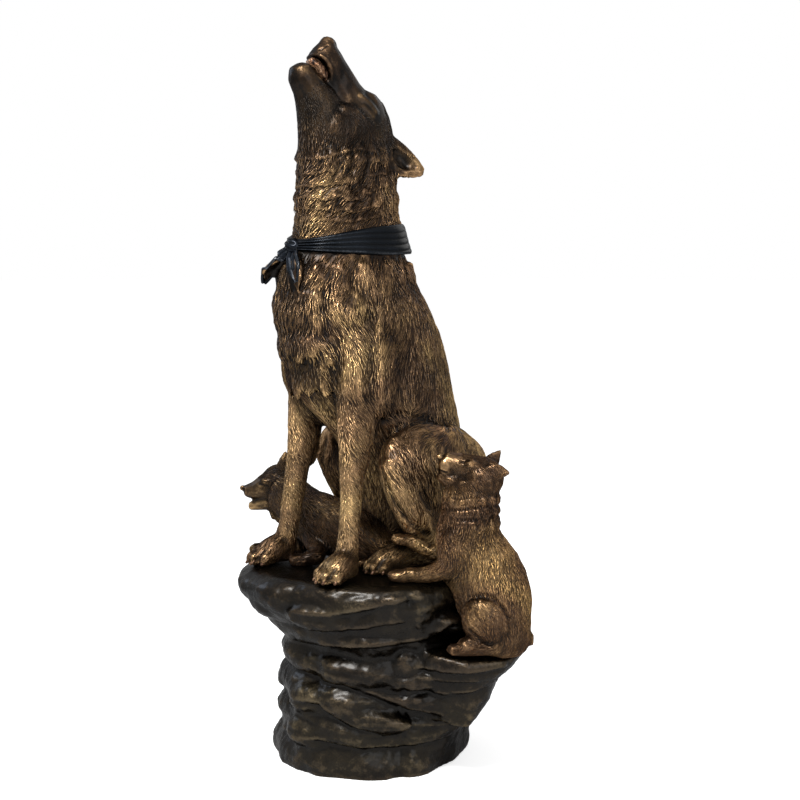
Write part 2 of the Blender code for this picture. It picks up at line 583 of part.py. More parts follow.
def build_lying_pup(collection, cutters):
    bm = bmesh.new()
    size = LYING_PUP_HEIGHT / LYING_PUP_DRAWN
    own = Place(0, (0, 0, ROCK_TOP), size)
    limb(bm, [own(0.050, -0.004, 0.040, 0.036, 0.038), own(0.020, -0.014, 0.052, 0.052, 0.052),
              own(-0.030, -0.030, 0.066, 0.058, 0.066), own(-0.080, -0.046, 0.074, 0.058, 0.070),
              own(-0.125, -0.060, 0.084, 0.054, 0.074), own(-0.160, -0.070, 0.102, 0.050, 0.066),
              own(-0.195, -0.078, 0.126, 0.046, 0.058), own(-0.225, -0.080, 0.142, 0.044, 0.054)],
         side=Vector((0, 1, 0)))
    # Head turned to the front, mouth open
    place = Place(LEDGE_TURN, LEDGE_BACK * LYING_HEAD_BACK * size + Vector((0, 0, ROCK_TOP)), size)
    left = place.turn @ Vector((1, 0, 0))
    ahead = place.turn @ Vector((0, -1, 0))
    place.blob(bm, (0, -0.222, 0.152), (0.050, 0.047, 0.052))
    limb(bm, [place(0, -0.218, 0.158, 0.047, 0.044), place(0, -0.252, 0.148, 0.038, 0.034),
              place(0, -0.280, 0.140, 0.027, 0.023),
              place(0, -0.300, 0.138, 0.020, 0.016)], side=left)
    limb(bm, [place(0, -0.228, 0.122, 0.036, 0.030), place(0, -0.262, 0.108, 0.025, 0.018),
              place(0, -0.292, 0.100, 0.016, 0.010)], side=left)
    for side in (1, -1):
        root, tip = Vector((side * 0.030, -0.212, 0.190)), Vector((side * 0.040, -0.208, 0.230))
        limb(bm, [place(*root, 0.020, 0.012), place(*root.lerp(tip, 0.5), 0.014, 0.009),
                  place(*tip, 0.003, 0.003)],
             side=place.turn @ Vector((side * 0.4, 1, 0)))
        place.blob(bm, (side * 0.028, -0.250, 0.166), (0.014, 0.014, 0.012))
    for k in range(9):
        a = math.radians(-80 + 160 * k / 8)
        out = place.turn @ Vector((math.sin(a), 0, -math.cos(a)))
        rim = place.point(0, -0.222, 0.140) + out * 0.052
        tuft(bm, rim - out * 0.004 - ahead * 0.012, rim + out * 0.022, 0.011, 0.006,
             place.turn @ Vector((0, 1, 0)))
    for y, h in ((-0.238, 0.066), (-0.226, 0.058), (-0.214, 0.048)):
        tuft(bm, place.point(0.01, y + 0.004, h + 0.045), place.point(0.01, y, h), 0.010, 0.012, left)
    # Haunch, forelegs and tail
    own.blob(bm, (-0.012, -0.050, 0.062), (0.058, 0.034, 0.060), (0, 12, 10))
    own.blob(bm, (-0.120, -0.085, 0.072), (0.042, 0.028, 0.056), (0, -10, 0))
    limb(bm, [own(-0.105, -0.088, 0.050, 0.026, 0.026), own(-0.060, -0.108, 0.026, 0.020, 0.020),
              own(-0.042, -0.128, 0.019, 0.018, 0.018), own(-0.052, -0.146, 0.017, 0.0175,
                                                            0.017)], side=Vector((1, 0.3, 0)))
    limb(bm, [own(-0.165, -0.080, 0.060, 0.026, 0.028), own(-0.195, -0.112, 0.030, 0.019, 0.021),
              own(-0.212, -0.140, 0.019, 0.018, 0.018)], side=Vector((0.8, -0.4, 0)))
    small_paw(bm, own, (-0.054, -0.148, 0.013), (-0.75, -0.55, 0), 1.2)
    small_paw(bm, own, (-0.214, -0.144, 0.013), (-0.45, -0.85, 0), 1.2)
    limb(bm, [own(0.045, -0.005, 0.03, 0.014, 0.014), own(0.062, -0.040, 0.015, 0.014, 0.013),
              own(0.050, -0.078, 0.012, 0.007, 0.008)], side=Vector((1, 0, 0)))
    pup = modelled("lying_pup", bm, collection, PUP_VOXEL, 2, PUP_TRIANGLES)
    cut(pup, box("pup_seat", (-1, -1, 0), (1, 1, ROCK_TOP + SEAT_GAP), cutters))
    return pup


def tidy(obj):
    """Keeps a casting's largest piece and closes hairline edges left by the cuts."""
    bm = bmesh.new()
    bm.from_mesh(obj.data)
    bmesh.ops.remove_doubles(bm, verts=bm.verts, dist=0.0001)
    bmesh.ops.dissolve_degenerate(bm, edges=bm.edges, dist=0.0001)
    left, pieces = set(bm.verts), []
    while left:
        front, piece = [next(iter(left))], set()
        while front:
            v = front.pop()
            if v in piece:
                continue
            piece.add(v)
            front.extend(e.other_vert(v) for e in v.link_edges)
        pieces.append(piece)
        left -= piece
    pieces.sort(key=len)
    for piece in pieces[:-1]:
        bmesh.ops.delete(bm, geom=list(piece), context="VERTS")
    bmesh.ops.triangulate(bm, faces=bm.faces)
    bmesh.ops.recalc_face_normals(bm, faces=bm.faces)
    bm.to_mesh(obj.data)
    bm.free()
    return obj


def bronze(obj, colour, roughness):
    material = bpy.data.materials.new(obj.name + "_bronze")
    material.use_nodes = True
    shader = material.node_tree.nodes["Principled BSDF"]
    shader.inputs["Base Color"].default_value = (*colour, 1)
    shader.inputs["Metallic"].default_value = 1.0
    shader.inputs["Roughness"].default_value = roughness
    obj.data.materials.clear()
    obj.data.materials.append(material)


def build():
    clear_scene()
    figures = bpy.data.collections.new("howling_wolf_group")
    cutters = bpy.data.collections.new("cutters")
    for group in (figures, cutters):
        bpy.context.scene.collection.children.link(group)
    rock = build_rock(figures, cutters)
    wolf = build_wolf(figures, cutters)
    sitting = build_sitting_pup(figures, cutters)
    lying = build_lying_pup(figures, cutters)
    for obj in (rock, wolf, sitting, lying):
        tidy(obj)
    # Each casting is trimmed to the ones already standing
    cut(sitting, swollen(rock, SEAT_GAP, cutters), swollen(wolf, SEAT_GAP, cutters))
    cut(lying, swollen(wolf, SEAT_GAP, cutters))
    for obj, colour, roughness in ((rock, (0.05, 0.04, 0.03), 0.35), (wolf, (0.30, 0.19, 0.09), 0.4),
                                   (sitting, (0.32, 0.2, 0.09), 0.4), (lying, (0.22, 0.14, 0.07), 0.4)):
        tidy(obj)
        bronze(obj, colour, roughness)
        for polygon in obj.data.polygons:
            polygon.use_smooth = True
    for tool in cutters.objects:
        tool.hide_render = True
        tool.display_type = "WIRE"


build()
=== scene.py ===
"""Howling wolf in a knotted neckerchief, with two pups, on a layered rock, all cast in bronze.

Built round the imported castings, in metres: the wolf faces -Y and the rock stands on z = 0.
"""

import math

import bmesh
import bpy
import numpy as np
from mathutils import Matrix, Vector, noise
from mathutils.bvhtree import BVHTree
from mathutils.kdtree import KDTree


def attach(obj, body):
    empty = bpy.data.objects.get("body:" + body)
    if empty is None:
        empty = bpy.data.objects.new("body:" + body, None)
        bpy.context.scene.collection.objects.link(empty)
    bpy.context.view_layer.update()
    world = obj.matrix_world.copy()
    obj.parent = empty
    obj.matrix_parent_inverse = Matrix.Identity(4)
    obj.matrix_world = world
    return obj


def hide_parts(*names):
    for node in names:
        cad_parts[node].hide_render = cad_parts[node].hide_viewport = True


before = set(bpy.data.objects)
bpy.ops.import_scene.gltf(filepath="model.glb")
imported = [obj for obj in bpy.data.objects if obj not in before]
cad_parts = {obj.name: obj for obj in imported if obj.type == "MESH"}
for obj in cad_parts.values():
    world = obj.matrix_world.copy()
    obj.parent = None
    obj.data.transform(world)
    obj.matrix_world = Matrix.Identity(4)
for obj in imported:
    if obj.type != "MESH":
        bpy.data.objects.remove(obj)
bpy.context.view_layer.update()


# Camera: the photograph was taken from the wolf's front left, with the lens at the height of its
# neckerchief and tipped slightly down.
LENS_MM, SENSOR_MM, FRAME_SHIFT = 70.25, 36, 0.0375
CAMERA_AT = (2.758, -2.314, 1.25)
TIPPED_DOWN, TURNED_ROUND = 6.578, 50
camera_data = bpy.data.cameras.new("camera")
camera_data.lens, camera_data.sensor_width, camera_data.shift_x = LENS_MM, SENSOR_MM, FRAME_SHIFT
camera = bpy.data.objects.new("camera", camera_data)
camera.location = CAMERA_AT
camera.rotation_euler = (math.radians(90 - TIPPED_DOWN), 0, math.radians(TURNED_ROUND))
bpy.context.scene.collection.objects.link(camera)
bpy.context.scene.camera = camera


# Studio: a plain pale floor and a white surround, a soft key lamp high in front and three weak
# lamps, one on each side and one behind.
bpy.context.scene.view_settings.view_transform = "Standard"
LOOK_AT = Vector((0, 0, 0.85))
WORLD_LIGHT, FLOOR_WHITE, FLOOR_GLOW, FLOOR_RADIUS = 0.55, 0.82, 0.56, 30


def node(tree, kind, inputs=None, **settings):
    """A shader node with its settings, and its inputs given as values or as other nodes' outputs."""
    made = tree.nodes.new("ShaderNode" + kind)
    for key, value in settings.items():
        setattr(made, key, value)
    for key, value in (inputs or {}).items():
        if isinstance(value, bpy.types.NodeSocket):
            tree.links.new(value, made.inputs[key])
        else:
            made.inputs[key].default_value = value
    return made


def add_object(name, mesh):
    obj = bpy.data.objects.new(name, mesh)
    bpy.context.scene.collection.objects.link(obj)
    return obj


def piece_from(bm, name):
    """The object that a bmesh makes, shaded smooth."""
    mesh = bpy.data.meshes.new(name)
    bm.to_mesh(mesh)
    bm.free()
    mesh.shade_smooth()
    return add_object(name, mesh)


def soft_lamp(name, azimuth, height, distance, size, power, tint):
    """A square lamp that looks at the group; azimuth 0 is straight in front of the wolf."""
    lamp = bpy.data.lights.new(name, "AREA")
    lamp.size, lamp.energy, lamp.color = size, power, tint
    obj = add_object(name, lamp)
    turn = math.radians(azimuth)
    obj.location = LOOK_AT + Vector((math.sin(turn) * distance, -math.cos(turn) * distance, height))
    obj.rotation_euler = (LOOK_AT - obj.location).to_track_quat("-Z", "Y").to_euler()


soft_lamp("key", 26, 2.9, 2.3, 0.9, 215, (1.0, 0.98, 0.95))
soft_lamp("fill", 84, 1.2, 3.4, 2.0, 34, (0.95, 0.97, 1.0))
soft_lamp("sky", 292, 1.7, 3.2, 1.6, 42, (0.72, 0.83, 1.0))
soft_lamp("rear", 190, 1.7, 3.6, 2.2, 36, (1.0, 0.98, 0.95))

world = bpy.data.worlds.new("studio")
world.use_nodes = True
bpy.context.scene.world = world
sky = world.node_tree
sky.nodes.clear()
path = node(sky, "LightPath")
seen = node(sky, "Math", {0: path.outputs["Is Camera Ray"], 1: path.outputs["Is Transmission Ray"]},
            operation="MAXIMUM")
seen = node(sky, "Math", {0: seen.outputs[0], 1: path.outputs["Is Glossy Ray"]}, operation="MAXIMUM")
strength = node(sky, "MapRange", {"Value": seen.outputs[0], "To Min": WORLD_LIGHT, "To Max": 1.0})
white = node(sky, "Background", {"Color": (1, 1, 1, 1), "Strength": strength.outputs[0]})
node(sky, "OutputWorld", {"Surface": white.outputs[0]})

bm = bmesh.new()
bmesh.ops.create_circle(bm, cap_ends=True, segments=64, radius=FLOOR_RADIUS)
floor = piece_from(bm, "floor")
pale = bpy.data.materials.new("pale_floor")
pale.use_nodes = True
tree = pale.node_tree
tree.nodes.clear()
matt = node(tree, "BsdfDiffuse", {"Color": (FLOOR_WHITE, FLOOR_WHITE, FLOOR_WHITE, 1)})
path = node(tree, "LightPath")
glow = node(tree, "Math", {0: path.outputs["Is Camera Ray"], 1: FLOOR_GLOW}, operation="MULTIPLY")
shine = node(tree, "Emission", {"Color": (1, 1, 1, 1), "Strength": glow.outputs[0]})
both = node(tree, "AddShader", {0: matt.outputs[0], 1: shine.outputs[0]})
node(tree, "OutputMaterial", {"Surface": both.outputs[0]})
floor.data.materials.append(pale)


# Rock: one sand casting with a flat underside, its layers cut deeper by hand in the wax
# and then given an almost black, waxed patina. It replaces the plain casting.
def finer_copy(name, node_name, grain, passes, lumps=()):
    """A copy of a casting, with lumps of wax put on it, laid out in an even grain and smoothed."""
    bm = bmesh.new()
    bm.from_mesh(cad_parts[node_name].data)
    bmesh.ops.remove_doubles(bm, verts=bm.verts, dist=0.00001)
    for centre, turn, radii in lumps:
        shape = Matrix.Translation(centre) @ turn.to_4x4() @ Matrix.Diagonal((*radii, 1))
        bmesh.ops.create_icosphere(bm, subdivisions=3, radius=1, matrix=shape)
    obj = piece_from(bm, name)
    remesh = obj.modifiers.new("grain", "REMESH")
    remesh.mode, remesh.voxel_size = "VOXEL", grain
    smooth = obj.modifiers.new("smooth", "SMOOTH")
    smooth.factor, smooth.iterations = 0.5, passes
    return settled(obj)


def settled(obj):
    """The object with its modifiers made into its mesh."""
    graph = bpy.context.evaluated_depsgraph_get()
    mesh = bpy.data.meshes.new_from_object(obj.evaluated_get(graph))
    obj.modifiers.clear()
    obj.data = mesh
    obj.data.materials.clear()
    obj.data.shade_smooth()
    return obj


def surface(obj):
    """Places and outward directions of a mesh's vertices."""
    mesh = obj.data
    count = len(mesh.vertices)
    places, outward = np.empty(count * 3, np.float32), np.empty(count * 3, np.float32)
    mesh.vertices.foreach_get("co", places)
    mesh.vertex_normals.foreach_get("vector", outward)
    return places.reshape(-1, 3).astype(float), outward.reshape(-1, 3).astype(float)


def reshape(obj, places):
    """Moves a mesh's vertices to new places."""
    obj.data.vertices.foreach_set("co", places.astype(np.float32).ravel())
    obj.data.update()


def give(obj, name, values):
    """A number for each vertex, or one for all of them, which the materials read."""
    layer = obj.data.attributes.get(name) or obj.data.attributes.new(name, "FLOAT", "POINT")
    layer.data.foreach_set("value", np.full(len(layer.data), values, np.float32))


def along_line(places, line):
    """Distance of each place from a line of points, and how far it lies above the line."""
    nearest, above = np.full(len(places), 9.0), np.zeros(len(places))
    for start, end in zip(line, line[1:]):
        start, end = np.array(start), np.array(end)
        span = end - start
        share = np.clip((places - start) @ span / max(span @ span, 1e-9), 0, 1)
        off = places - start - share[:, None] * span
        gap = np.linalg.norm(off, axis=1)
        closer = gap < nearest
        nearest[closer], above[closer] = gap[closer], off[closer, 2]
    return nearest, above


def eased(share):
    """0 below 0, 1 above 1, and a soft slope between them."""
    share = np.clip(share, 0, 1)
    return share * share * (3 - 2 * share)


def carve(places, outward, line, radius, height):
    """A groove, or a ridge where the height is above 0, pressed along a line with soft edges."""
    share = eased(1 - along_line(places, line)[0] / radius)
    return places + outward * (height * share)[:, None]


def overhang(places, outward, line, reach, height, crisp=0.003):
    """A layer that swells out above a line and is cut back sharply below it."""
    gap, above = along_line(places, line)
    move = height * eased(1 - gap / reach) * np.tanh(above / crisp)
    return places + outward * move[:, None]


def hollow_mask(obj, reach):
    """How far each vertex lies in a hollow (below 0) or on a ridge (above 0)."""
    mesh = obj.data
    places, outward = surface(obj)
    ends = np.empty(len(mesh.edges) * 2, np.int32)
    mesh.edges.foreach_get("vertices", ends)
    ends = ends.reshape(-1, 2)
    smooth = places.copy()
    degree = np.bincount(ends.ravel(), minlength=len(places))[:, None]
    for _ in range(reach):
        total = np.zeros_like(smooth)
        for axis in range(3):
            total[:, axis] = (np.bincount(ends[:, 0], smooth[ends[:, 1], axis], len(places))
                              + np.bincount(ends[:, 1], smooth[ends[:, 0], axis], len(places)))
        smooth = total / degree
    return np.einsum("ij,ij->i", places - smooth, outward)


def fractal(places, scale, falloff, step, octaves):
    """Lumps with smaller lumps on them, as a number at each place."""
    return np.array([noise.fractal(Vector(p * scale), falloff, step, octaves) for p in places])


def lumpy(places, scale):
    """Soft lumps, as a number at each place."""
    return np.array([noise.noise(Vector(p * scale)) for p in places])


# The recess beside the ledge is filled with two lumps, which the layers below are then cut into
ROCK_GRAIN = 0.0043
FILLED = [(Vector((0.213, -0.079, 0.268)), Matrix.Identity(3), (0.034, 0.034, 0.046)),
          (Vector((0.228, -0.062, 0.262)), Matrix.Identity(3), (0.030, 0.030, 0.034))]
rock = finer_copy("rock_base_cast", "rock_base", ROCK_GRAIN, 4, FILLED)
places, outward = surface(rock)
# Layers of the front and of the ledge's side: line, reach and depth
ROCK_LAYERS = (
    (((0.03, -0.218, 0.304), (0.113, -0.213, 0.312), (0.165, -0.196, 0.315), (0.204, -0.177, 0.32),
      (0.235, -0.111, 0.324), (0.263, -0.054, 0.331), (0.303, -0.016, 0.364)), 0.045, 0.0060),
    (((0.1, -0.284, 0.391), (0.156, -0.244, 0.391), (0.204, -0.2, 0.404), (0.245, -0.163, 0.419),
      (0.272, -0.115, 0.43)), 0.040, 0.0050),
    (((0.02, -0.27, 0.352), (0.12, -0.245, 0.352), (0.19, -0.19, 0.362), (0.25, -0.13, 0.378)),
     0.032, 0.0035),
    (((-0.04, -0.2, 0.245), (0.034, -0.206, 0.233), (0.139, -0.189, 0.224), (0.199, -0.124, 0.191),
      (0.228, -0.045, 0.154)), 0.050, 0.0065),
    (((-0.042, -0.205, 0.173), (0.09, -0.221, 0.173), (0.146, -0.181, 0.132), (0.188, -0.114, 0.106)),
     0.042, 0.0060),
    (((0.06, -0.21, 0.268), (0.12, -0.195, 0.262), (0.18, -0.15, 0.246)), 0.026, 0.0030),
    (((0.10, -0.205, 0.196), (0.15, -0.17, 0.186), (0.19, -0.12, 0.168)), 0.022, 0.0028),
    (((-0.075, -0.196, 0.067), (0.081, -0.215, 0.089), (0.15, -0.155, 0.075), (0.19, -0.071, 0.073),
      (0.223, 0.021, 0.078)), 0.040, 0.0055),
    (((0.04, -0.215, 0.128), (0.12, -0.19, 0.112), (0.17, -0.12, 0.098)), 0.024, 0.0030),
    (((0.222, -0.07, 0.266), (0.297, -0.049, 0.263), (0.35, -0.008, 0.263), (0.381, 0.054, 0.271)),
     0.026, 0.0050),
    (((0.247, -0.077, 0.216), (0.286, -0.023, 0.203), (0.33, 0.012, 0.213), (0.343, 0.06, 0.225)),
     0.030, 0.0050),
    (((0.235, -0.08, 0.242), (0.295, -0.035, 0.236), (0.345, 0.01, 0.24)), 0.016, 0.0030),
    (((0.225, -0.06, 0.165), (0.265, 0.0, 0.150), (0.29, 0.05, 0.158)), 0.030, 0.0045),
    (((0.215, -0.06, 0.120), (0.25, 0.01, 0.112), (0.27, 0.07, 0.118)), 0.024, 0.0035),
)
for line, reach, height in ROCK_LAYERS:
    places = overhang(places, outward, line, reach, height)
ROCK_CRACKS = (
    ((0.231, -0.096, 0.216), (0.212, -0.084, 0.158), (0.203, -0.07, 0.1)),
    ((0.272, -0.115, 0.43), (0.262, -0.10, 0.39), (0.268, -0.09, 0.35)),
    ((-0.06, -0.21, 0.30), (-0.065, -0.205, 0.22), (-0.05, -0.20, 0.14)),
)
CRACK_REACH, CRACK_DEPTH = 0.012, 0.0035
for line in ROCK_CRACKS:
    places = carve(places, outward, line, CRACK_REACH, -CRACK_DEPTH)
# Layers of the back and the far side: height, how far and from where it rises and falls round the
# rock, reach and depth
FAR_LAYERS = (
    (0.065, 0.010, 0.4, 0.030, 0.0050), (0.118, 0.020, 2.1, 0.028, 0.0045),
    (0.172, 0.018, 4.0, 0.034, 0.0060), (0.236, 0.026, 0.9, 0.036, 0.0060),
    (0.298, 0.016, 3.1, 0.030, 0.0050), (0.352, 0.014, 5.2, 0.028, 0.0050),
    (0.398, 0.010, 1.7, 0.030, 0.0045),
)
FAR_SIDE = math.radians(140)
x, y, z = places.T
turn_round = np.arctan2(y, x)
far_side = eased((np.cos(turn_round - FAR_SIDE) + 0.45) / 0.5)
level = fractal(places, 5, 1.0, 2.0, 3)
move = np.zeros(len(places))
for height, wave, phase, reach, deep in FAR_LAYERS:
    above = z - (height + wave * np.sin(turn_round * 2 + phase) + 0.016 * level)
    fade = eased(1 - np.abs(above) / reach)
    broken = np.clip(0.55 + 0.9 * np.sin(turn_round * 3 + phase * 2.3), 0, 1)
    move += deep * fade * np.tanh(above / 0.003) * broken * far_side
# Fine strata and soft lumps on the sides, small pits everywhere; the foot and the top stay level
STRATA_DEPTH, LUMP_DEPTH, PIT_DEPTH = 0.0018, 0.0030, 0.0017
pits = fractal(places, 42, 0.9, 2.1, 3)
lumps = lumpy(places, np.array((13, 13, 21)))
strata = np.abs(np.sin(z * 96 + level * 5.5)) ** 0.7 - 0.6
side = np.clip(1.25 - np.abs(outward[:, 2]) * 1.6, 0, 1)
above_foot = np.clip(z / 0.012, 0, 1)
under_feet = np.clip((0.452 - z) / 0.01, 0, 1)
move += strata * STRATA_DEPTH * side + lumps * LUMP_DEPTH * side + pits * PIT_DEPTH
reshape(rock, places + outward * (move * above_foot * (0.25 + 0.75 * under_feet))[:, None])
give(rock, "worn", np.clip(0.45 + hollow_mask(rock, 5) * 210 + hollow_mask(rock, 30) * 28, 0, 1))
give(rock, "tone", 0.5 + 0.2 * np.clip(level, -1, 1))
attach(rock, "root")
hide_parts("rock_base")


def patina_group():
    """Chemical patina on bronze: dark in the hollows, rubbed back to warmer metal on the ridges.
    It reads how worn each place is, and its tone, which make it brighter or darker."""
    group = bpy.data.node_groups.new("bronze_patina", "ShaderNodeTree")
    for way, kind, names in (("INPUT", "Color", ("Hollow", "Skin", "Rubbed")),
                             ("INPUT", "Float", ("Cloud scale", "Cloud depth", "Grain scale")),
                             ("INPUT", "Float", ("Rub start", "Rub end")),
                             ("OUTPUT", "Color", ("Color",)),
                             ("OUTPUT", "Float", ("Roughness", "Grain"))):
        for name in names:
            group.interface.new_socket(name, in_out=way, socket_type="NodeSocket" + kind)
    given = group.nodes.new("NodeGroupInput").outputs
    spot = node(group, "TexCoord").outputs["Object"]
    cloud = node(group, "TexNoise", {"Vector": spot, "Scale": given["Cloud scale"], "Detail": 4.0})
    grain = node(group, "TexNoise", {"Vector": spot, "Scale": given["Grain scale"], "Detail": 3.0})
    patch = node(group, "TexNoise", {"Vector": spot, "Scale": 5.5, "Detail": 3.0, "Distortion": 0.6})
    worn = node(group, "Attribute", attribute_name="worn").outputs["Fac"]
    tone = node(group, "Attribute", attribute_name="tone").outputs["Fac"]
    shift = node(group, "Math", {0: cloud.outputs["Fac"], 1: -0.5}, operation="ADD")
    shift = node(group, "Math", {0: shift.outputs[0], 1: given["Cloud depth"], 2: worn},
                 operation="MULTIPLY_ADD")
    fine = node(group, "Math", {0: grain.outputs["Fac"], 1: -0.5}, operation="ADD")
    shift = node(group, "Math", {0: fine.outputs[0], 1: 0.5, 2: shift.outputs[0]}, operation="MULTIPLY_ADD")
    low = node(group, "MapRange", {"Value": shift.outputs[0], "From Min": 0.05,
                                   "From Max": given["Rub start"]})
    high = node(group, "MapRange", {"Value": shift.outputs[0], "From Min": given["Rub start"],
                                    "From Max": given["Rub end"]})
    body = node(group, "Mix", {"Factor": low.outputs[0], 6: given["Hollow"], 7: given["Skin"]},
                data_type="RGBA")
    metal = node(group, "Mix", {"Factor": high.outputs[0], 6: body.outputs[2], 7: given["Rubbed"]},
                 data_type="RGBA")
    hue = node(group, "MapRange", {"Value": patch.outputs["Fac"], "From Min": 0.38, "From Max": 0.62,
                                   "To Min": 0.491, "To Max": 0.509})
    shade = node(group, "MapRange", {"Value": patch.outputs["Fac"], "From Min": 0.36, "From Max": 0.64,
                                     "To Min": 0.55, "To Max": 1.4})
    value = node(group, "MapRange", {"Value": tone, "To Min": 0.58, "To Max": 1.42})
    value = node(group, "Math", {0: shade.outputs[0], 1: value.outputs[0]}, operation="MULTIPLY")
    tinted = node(group, "HueSaturation", {"Hue": hue.outputs[0], "Value": value.outputs[0],
                                           "Color": metal.outputs[2]})
    rough = node(group, "MapRange", {"Value": high.outputs[0], "To Min": 0.44, "To Max": 0.26})
    given_out = group.nodes.new("NodeGroupOutput")
    group.links.new(tinted.outputs[0], given_out.inputs["Color"])
    group.links.new(rough.outputs[0], given_out.inputs["Roughness"])
    group.links.new(grain.outputs["Fac"], given_out.inputs["Grain"])
    return group


patina = patina_group()


def bronze(name, hollow, skin, rubbed, clouds, rub, coat, grain, edge, strands=0.0):
    """A patinated bronze. Clouds and grain are each a scale and a depth, rub is where wear starts and
    ends, coat is the wax's weight and roughness, and edge is the metal's tint at a grazing angle.
    Strands are hair lines that follow the coat's own strand coordinates."""
    material = bpy.data.materials.new(name)
    material.use_nodes = True
    tree = material.node_tree
    shader = tree.nodes["Principled BSDF"]
    shader.inputs["Metallic"].default_value = 1.0
    shader.inputs["Coat Weight"].default_value = coat[0]
    shader.inputs["Coat Roughness"].default_value = coat[1]
    shader.inputs["Specular Tint"].default_value = (edge, edge, edge, 1)
    skin_of = tree.nodes.new("ShaderNodeGroup")
    skin_of.node_tree = patina
    for key, value in (("Hollow", hollow), ("Skin", skin), ("Rubbed", rubbed)):
        skin_of.inputs[key].default_value = (*value, 1)
    for key, value in (("Cloud scale", clouds[0]), ("Cloud depth", clouds[1]), ("Grain scale", grain[0]),
                       ("Rub start", rub[0]), ("Rub end", rub[1])):
        skin_of.inputs[key].default_value = value
    height = skin_of.outputs["Grain"]
    if strands:
        spot = node(tree, "Attribute", attribute_name="strand").outputs["Vector"]
        hairs = node(tree, "TexNoise", {"Vector": spot, "Scale": 1.0, "Detail": 2.0})
        height = node(tree, "Math", {0: hairs.outputs["Fac"], 1: strands, 2: height},
                      operation="MULTIPLY_ADD").outputs[0]
    raised = node(tree, "Bump", {"Height": height, "Strength": grain[1], "Distance": 0.002})
    tree.links.new(skin_of.outputs["Color"], shader.inputs["Base Color"])
    tree.links.new(skin_of.outputs["Roughness"], shader.inputs["Roughness"])
    tree.links.new(raised.outputs[0], shader.inputs["Normal"])
    return material


rock_bronze = bronze("rock_bronze", (0.004, 0.003, 0.002), (0.0115, 0.0084, 0.0048), (0.070, 0.051, 0.030),
                     (14.0, 0.55), (0.64, 1.15), (0.24, 0.27), (230, 1.0), 0.3)
rock.data.materials.append(rock_bronze)


# Wolf: cast in one, then chased all over with short strokes that follow the lie of the fur.
# The skin is cut in two under the neckerchief, so that the head can be finer than the trunk.
ROCK_TOP = 0.455


def up(height):
    """A height over the rock's top, in the group's axes."""
    return ROCK_TOP + height


def bisected(obj, name, height, keep_above):
    """A copy of the mesh on one side of a level plane, closed over the cut."""
    bm = bmesh.new()
    bm.from_mesh(obj.data)
    bmesh.ops.bisect_plane(bm, geom=bm.verts[:] + bm.edges[:] + bm.faces[:], plane_co=(0, 0, height),
                           plane_no=(0, 0, 1), clear_outer=not keep_above, clear_inner=keep_above)
    bmesh.ops.holes_fill(bm, edges=[e for e in bm.edges if e.is_boundary])
    bmesh.ops.triangulate(bm, faces=[f for f in bm.faces if len(f.verts) > 4])
    return piece_from(bm, name)


UNDER_BAND = up(0.748)
HEAD_GRAIN, TRUNK_GRAIN = 0.0026, 0.0042
fine = finer_copy("wolf_fine", "wolf", HEAD_GRAIN, 10)
head = bisected(fine, "wolf_head_skin", UNDER_BAND, True)
bpy.data.objects.remove(fine)
# Paws: heel, how far it splays and width; toes: place across and reach, in shares of that width
PAWS = ((0.1183, -0.172, 9, 0.088), (-0.1183, -0.172, -9, 0.088), (0.114, -0.035, 8, 0.0774),
        (-0.114, 0.06, -8, 0.0774))
TOES = ((-1.5, 0.64), (-0.5, 0.83), (0.5, 0.83), (1.5, 0.64))


def on_paw(paw, x, y, z):
    """A point of a paw, drawn in shares of its width, in the group's axes."""
    heel_x, heel_y, splay, width = paw
    turn = Matrix.Rotation(math.radians(splay), 3, "Z")
    return Vector((heel_x, heel_y, ROCK_TOP)) + turn @ Vector((x, y, z)) * width


toes = []
for paw in PAWS:
    turn, width = Matrix.Rotation(math.radians(paw[2]), 3, "Z"), paw[3]
    for place, reach in TOES:
        toes.append((on_paw(paw, place * 0.225, -reach + 0.02, 0.20), turn,
                     (0.096 * width, 0.17 * width, 0.185 * width)))
        toes.append((on_paw(paw, place * 0.205, -reach + 0.30, 0.36), turn,
                     (0.088 * width, 0.16 * width, 0.13 * width)))
plain = finer_copy("wolf_plain", "wolf", TRUNK_GRAIN, 4, toes)
trunk = bisected(plain, "wolf_body_skin", UNDER_BAND, False)
bpy.data.objects.remove(plain)

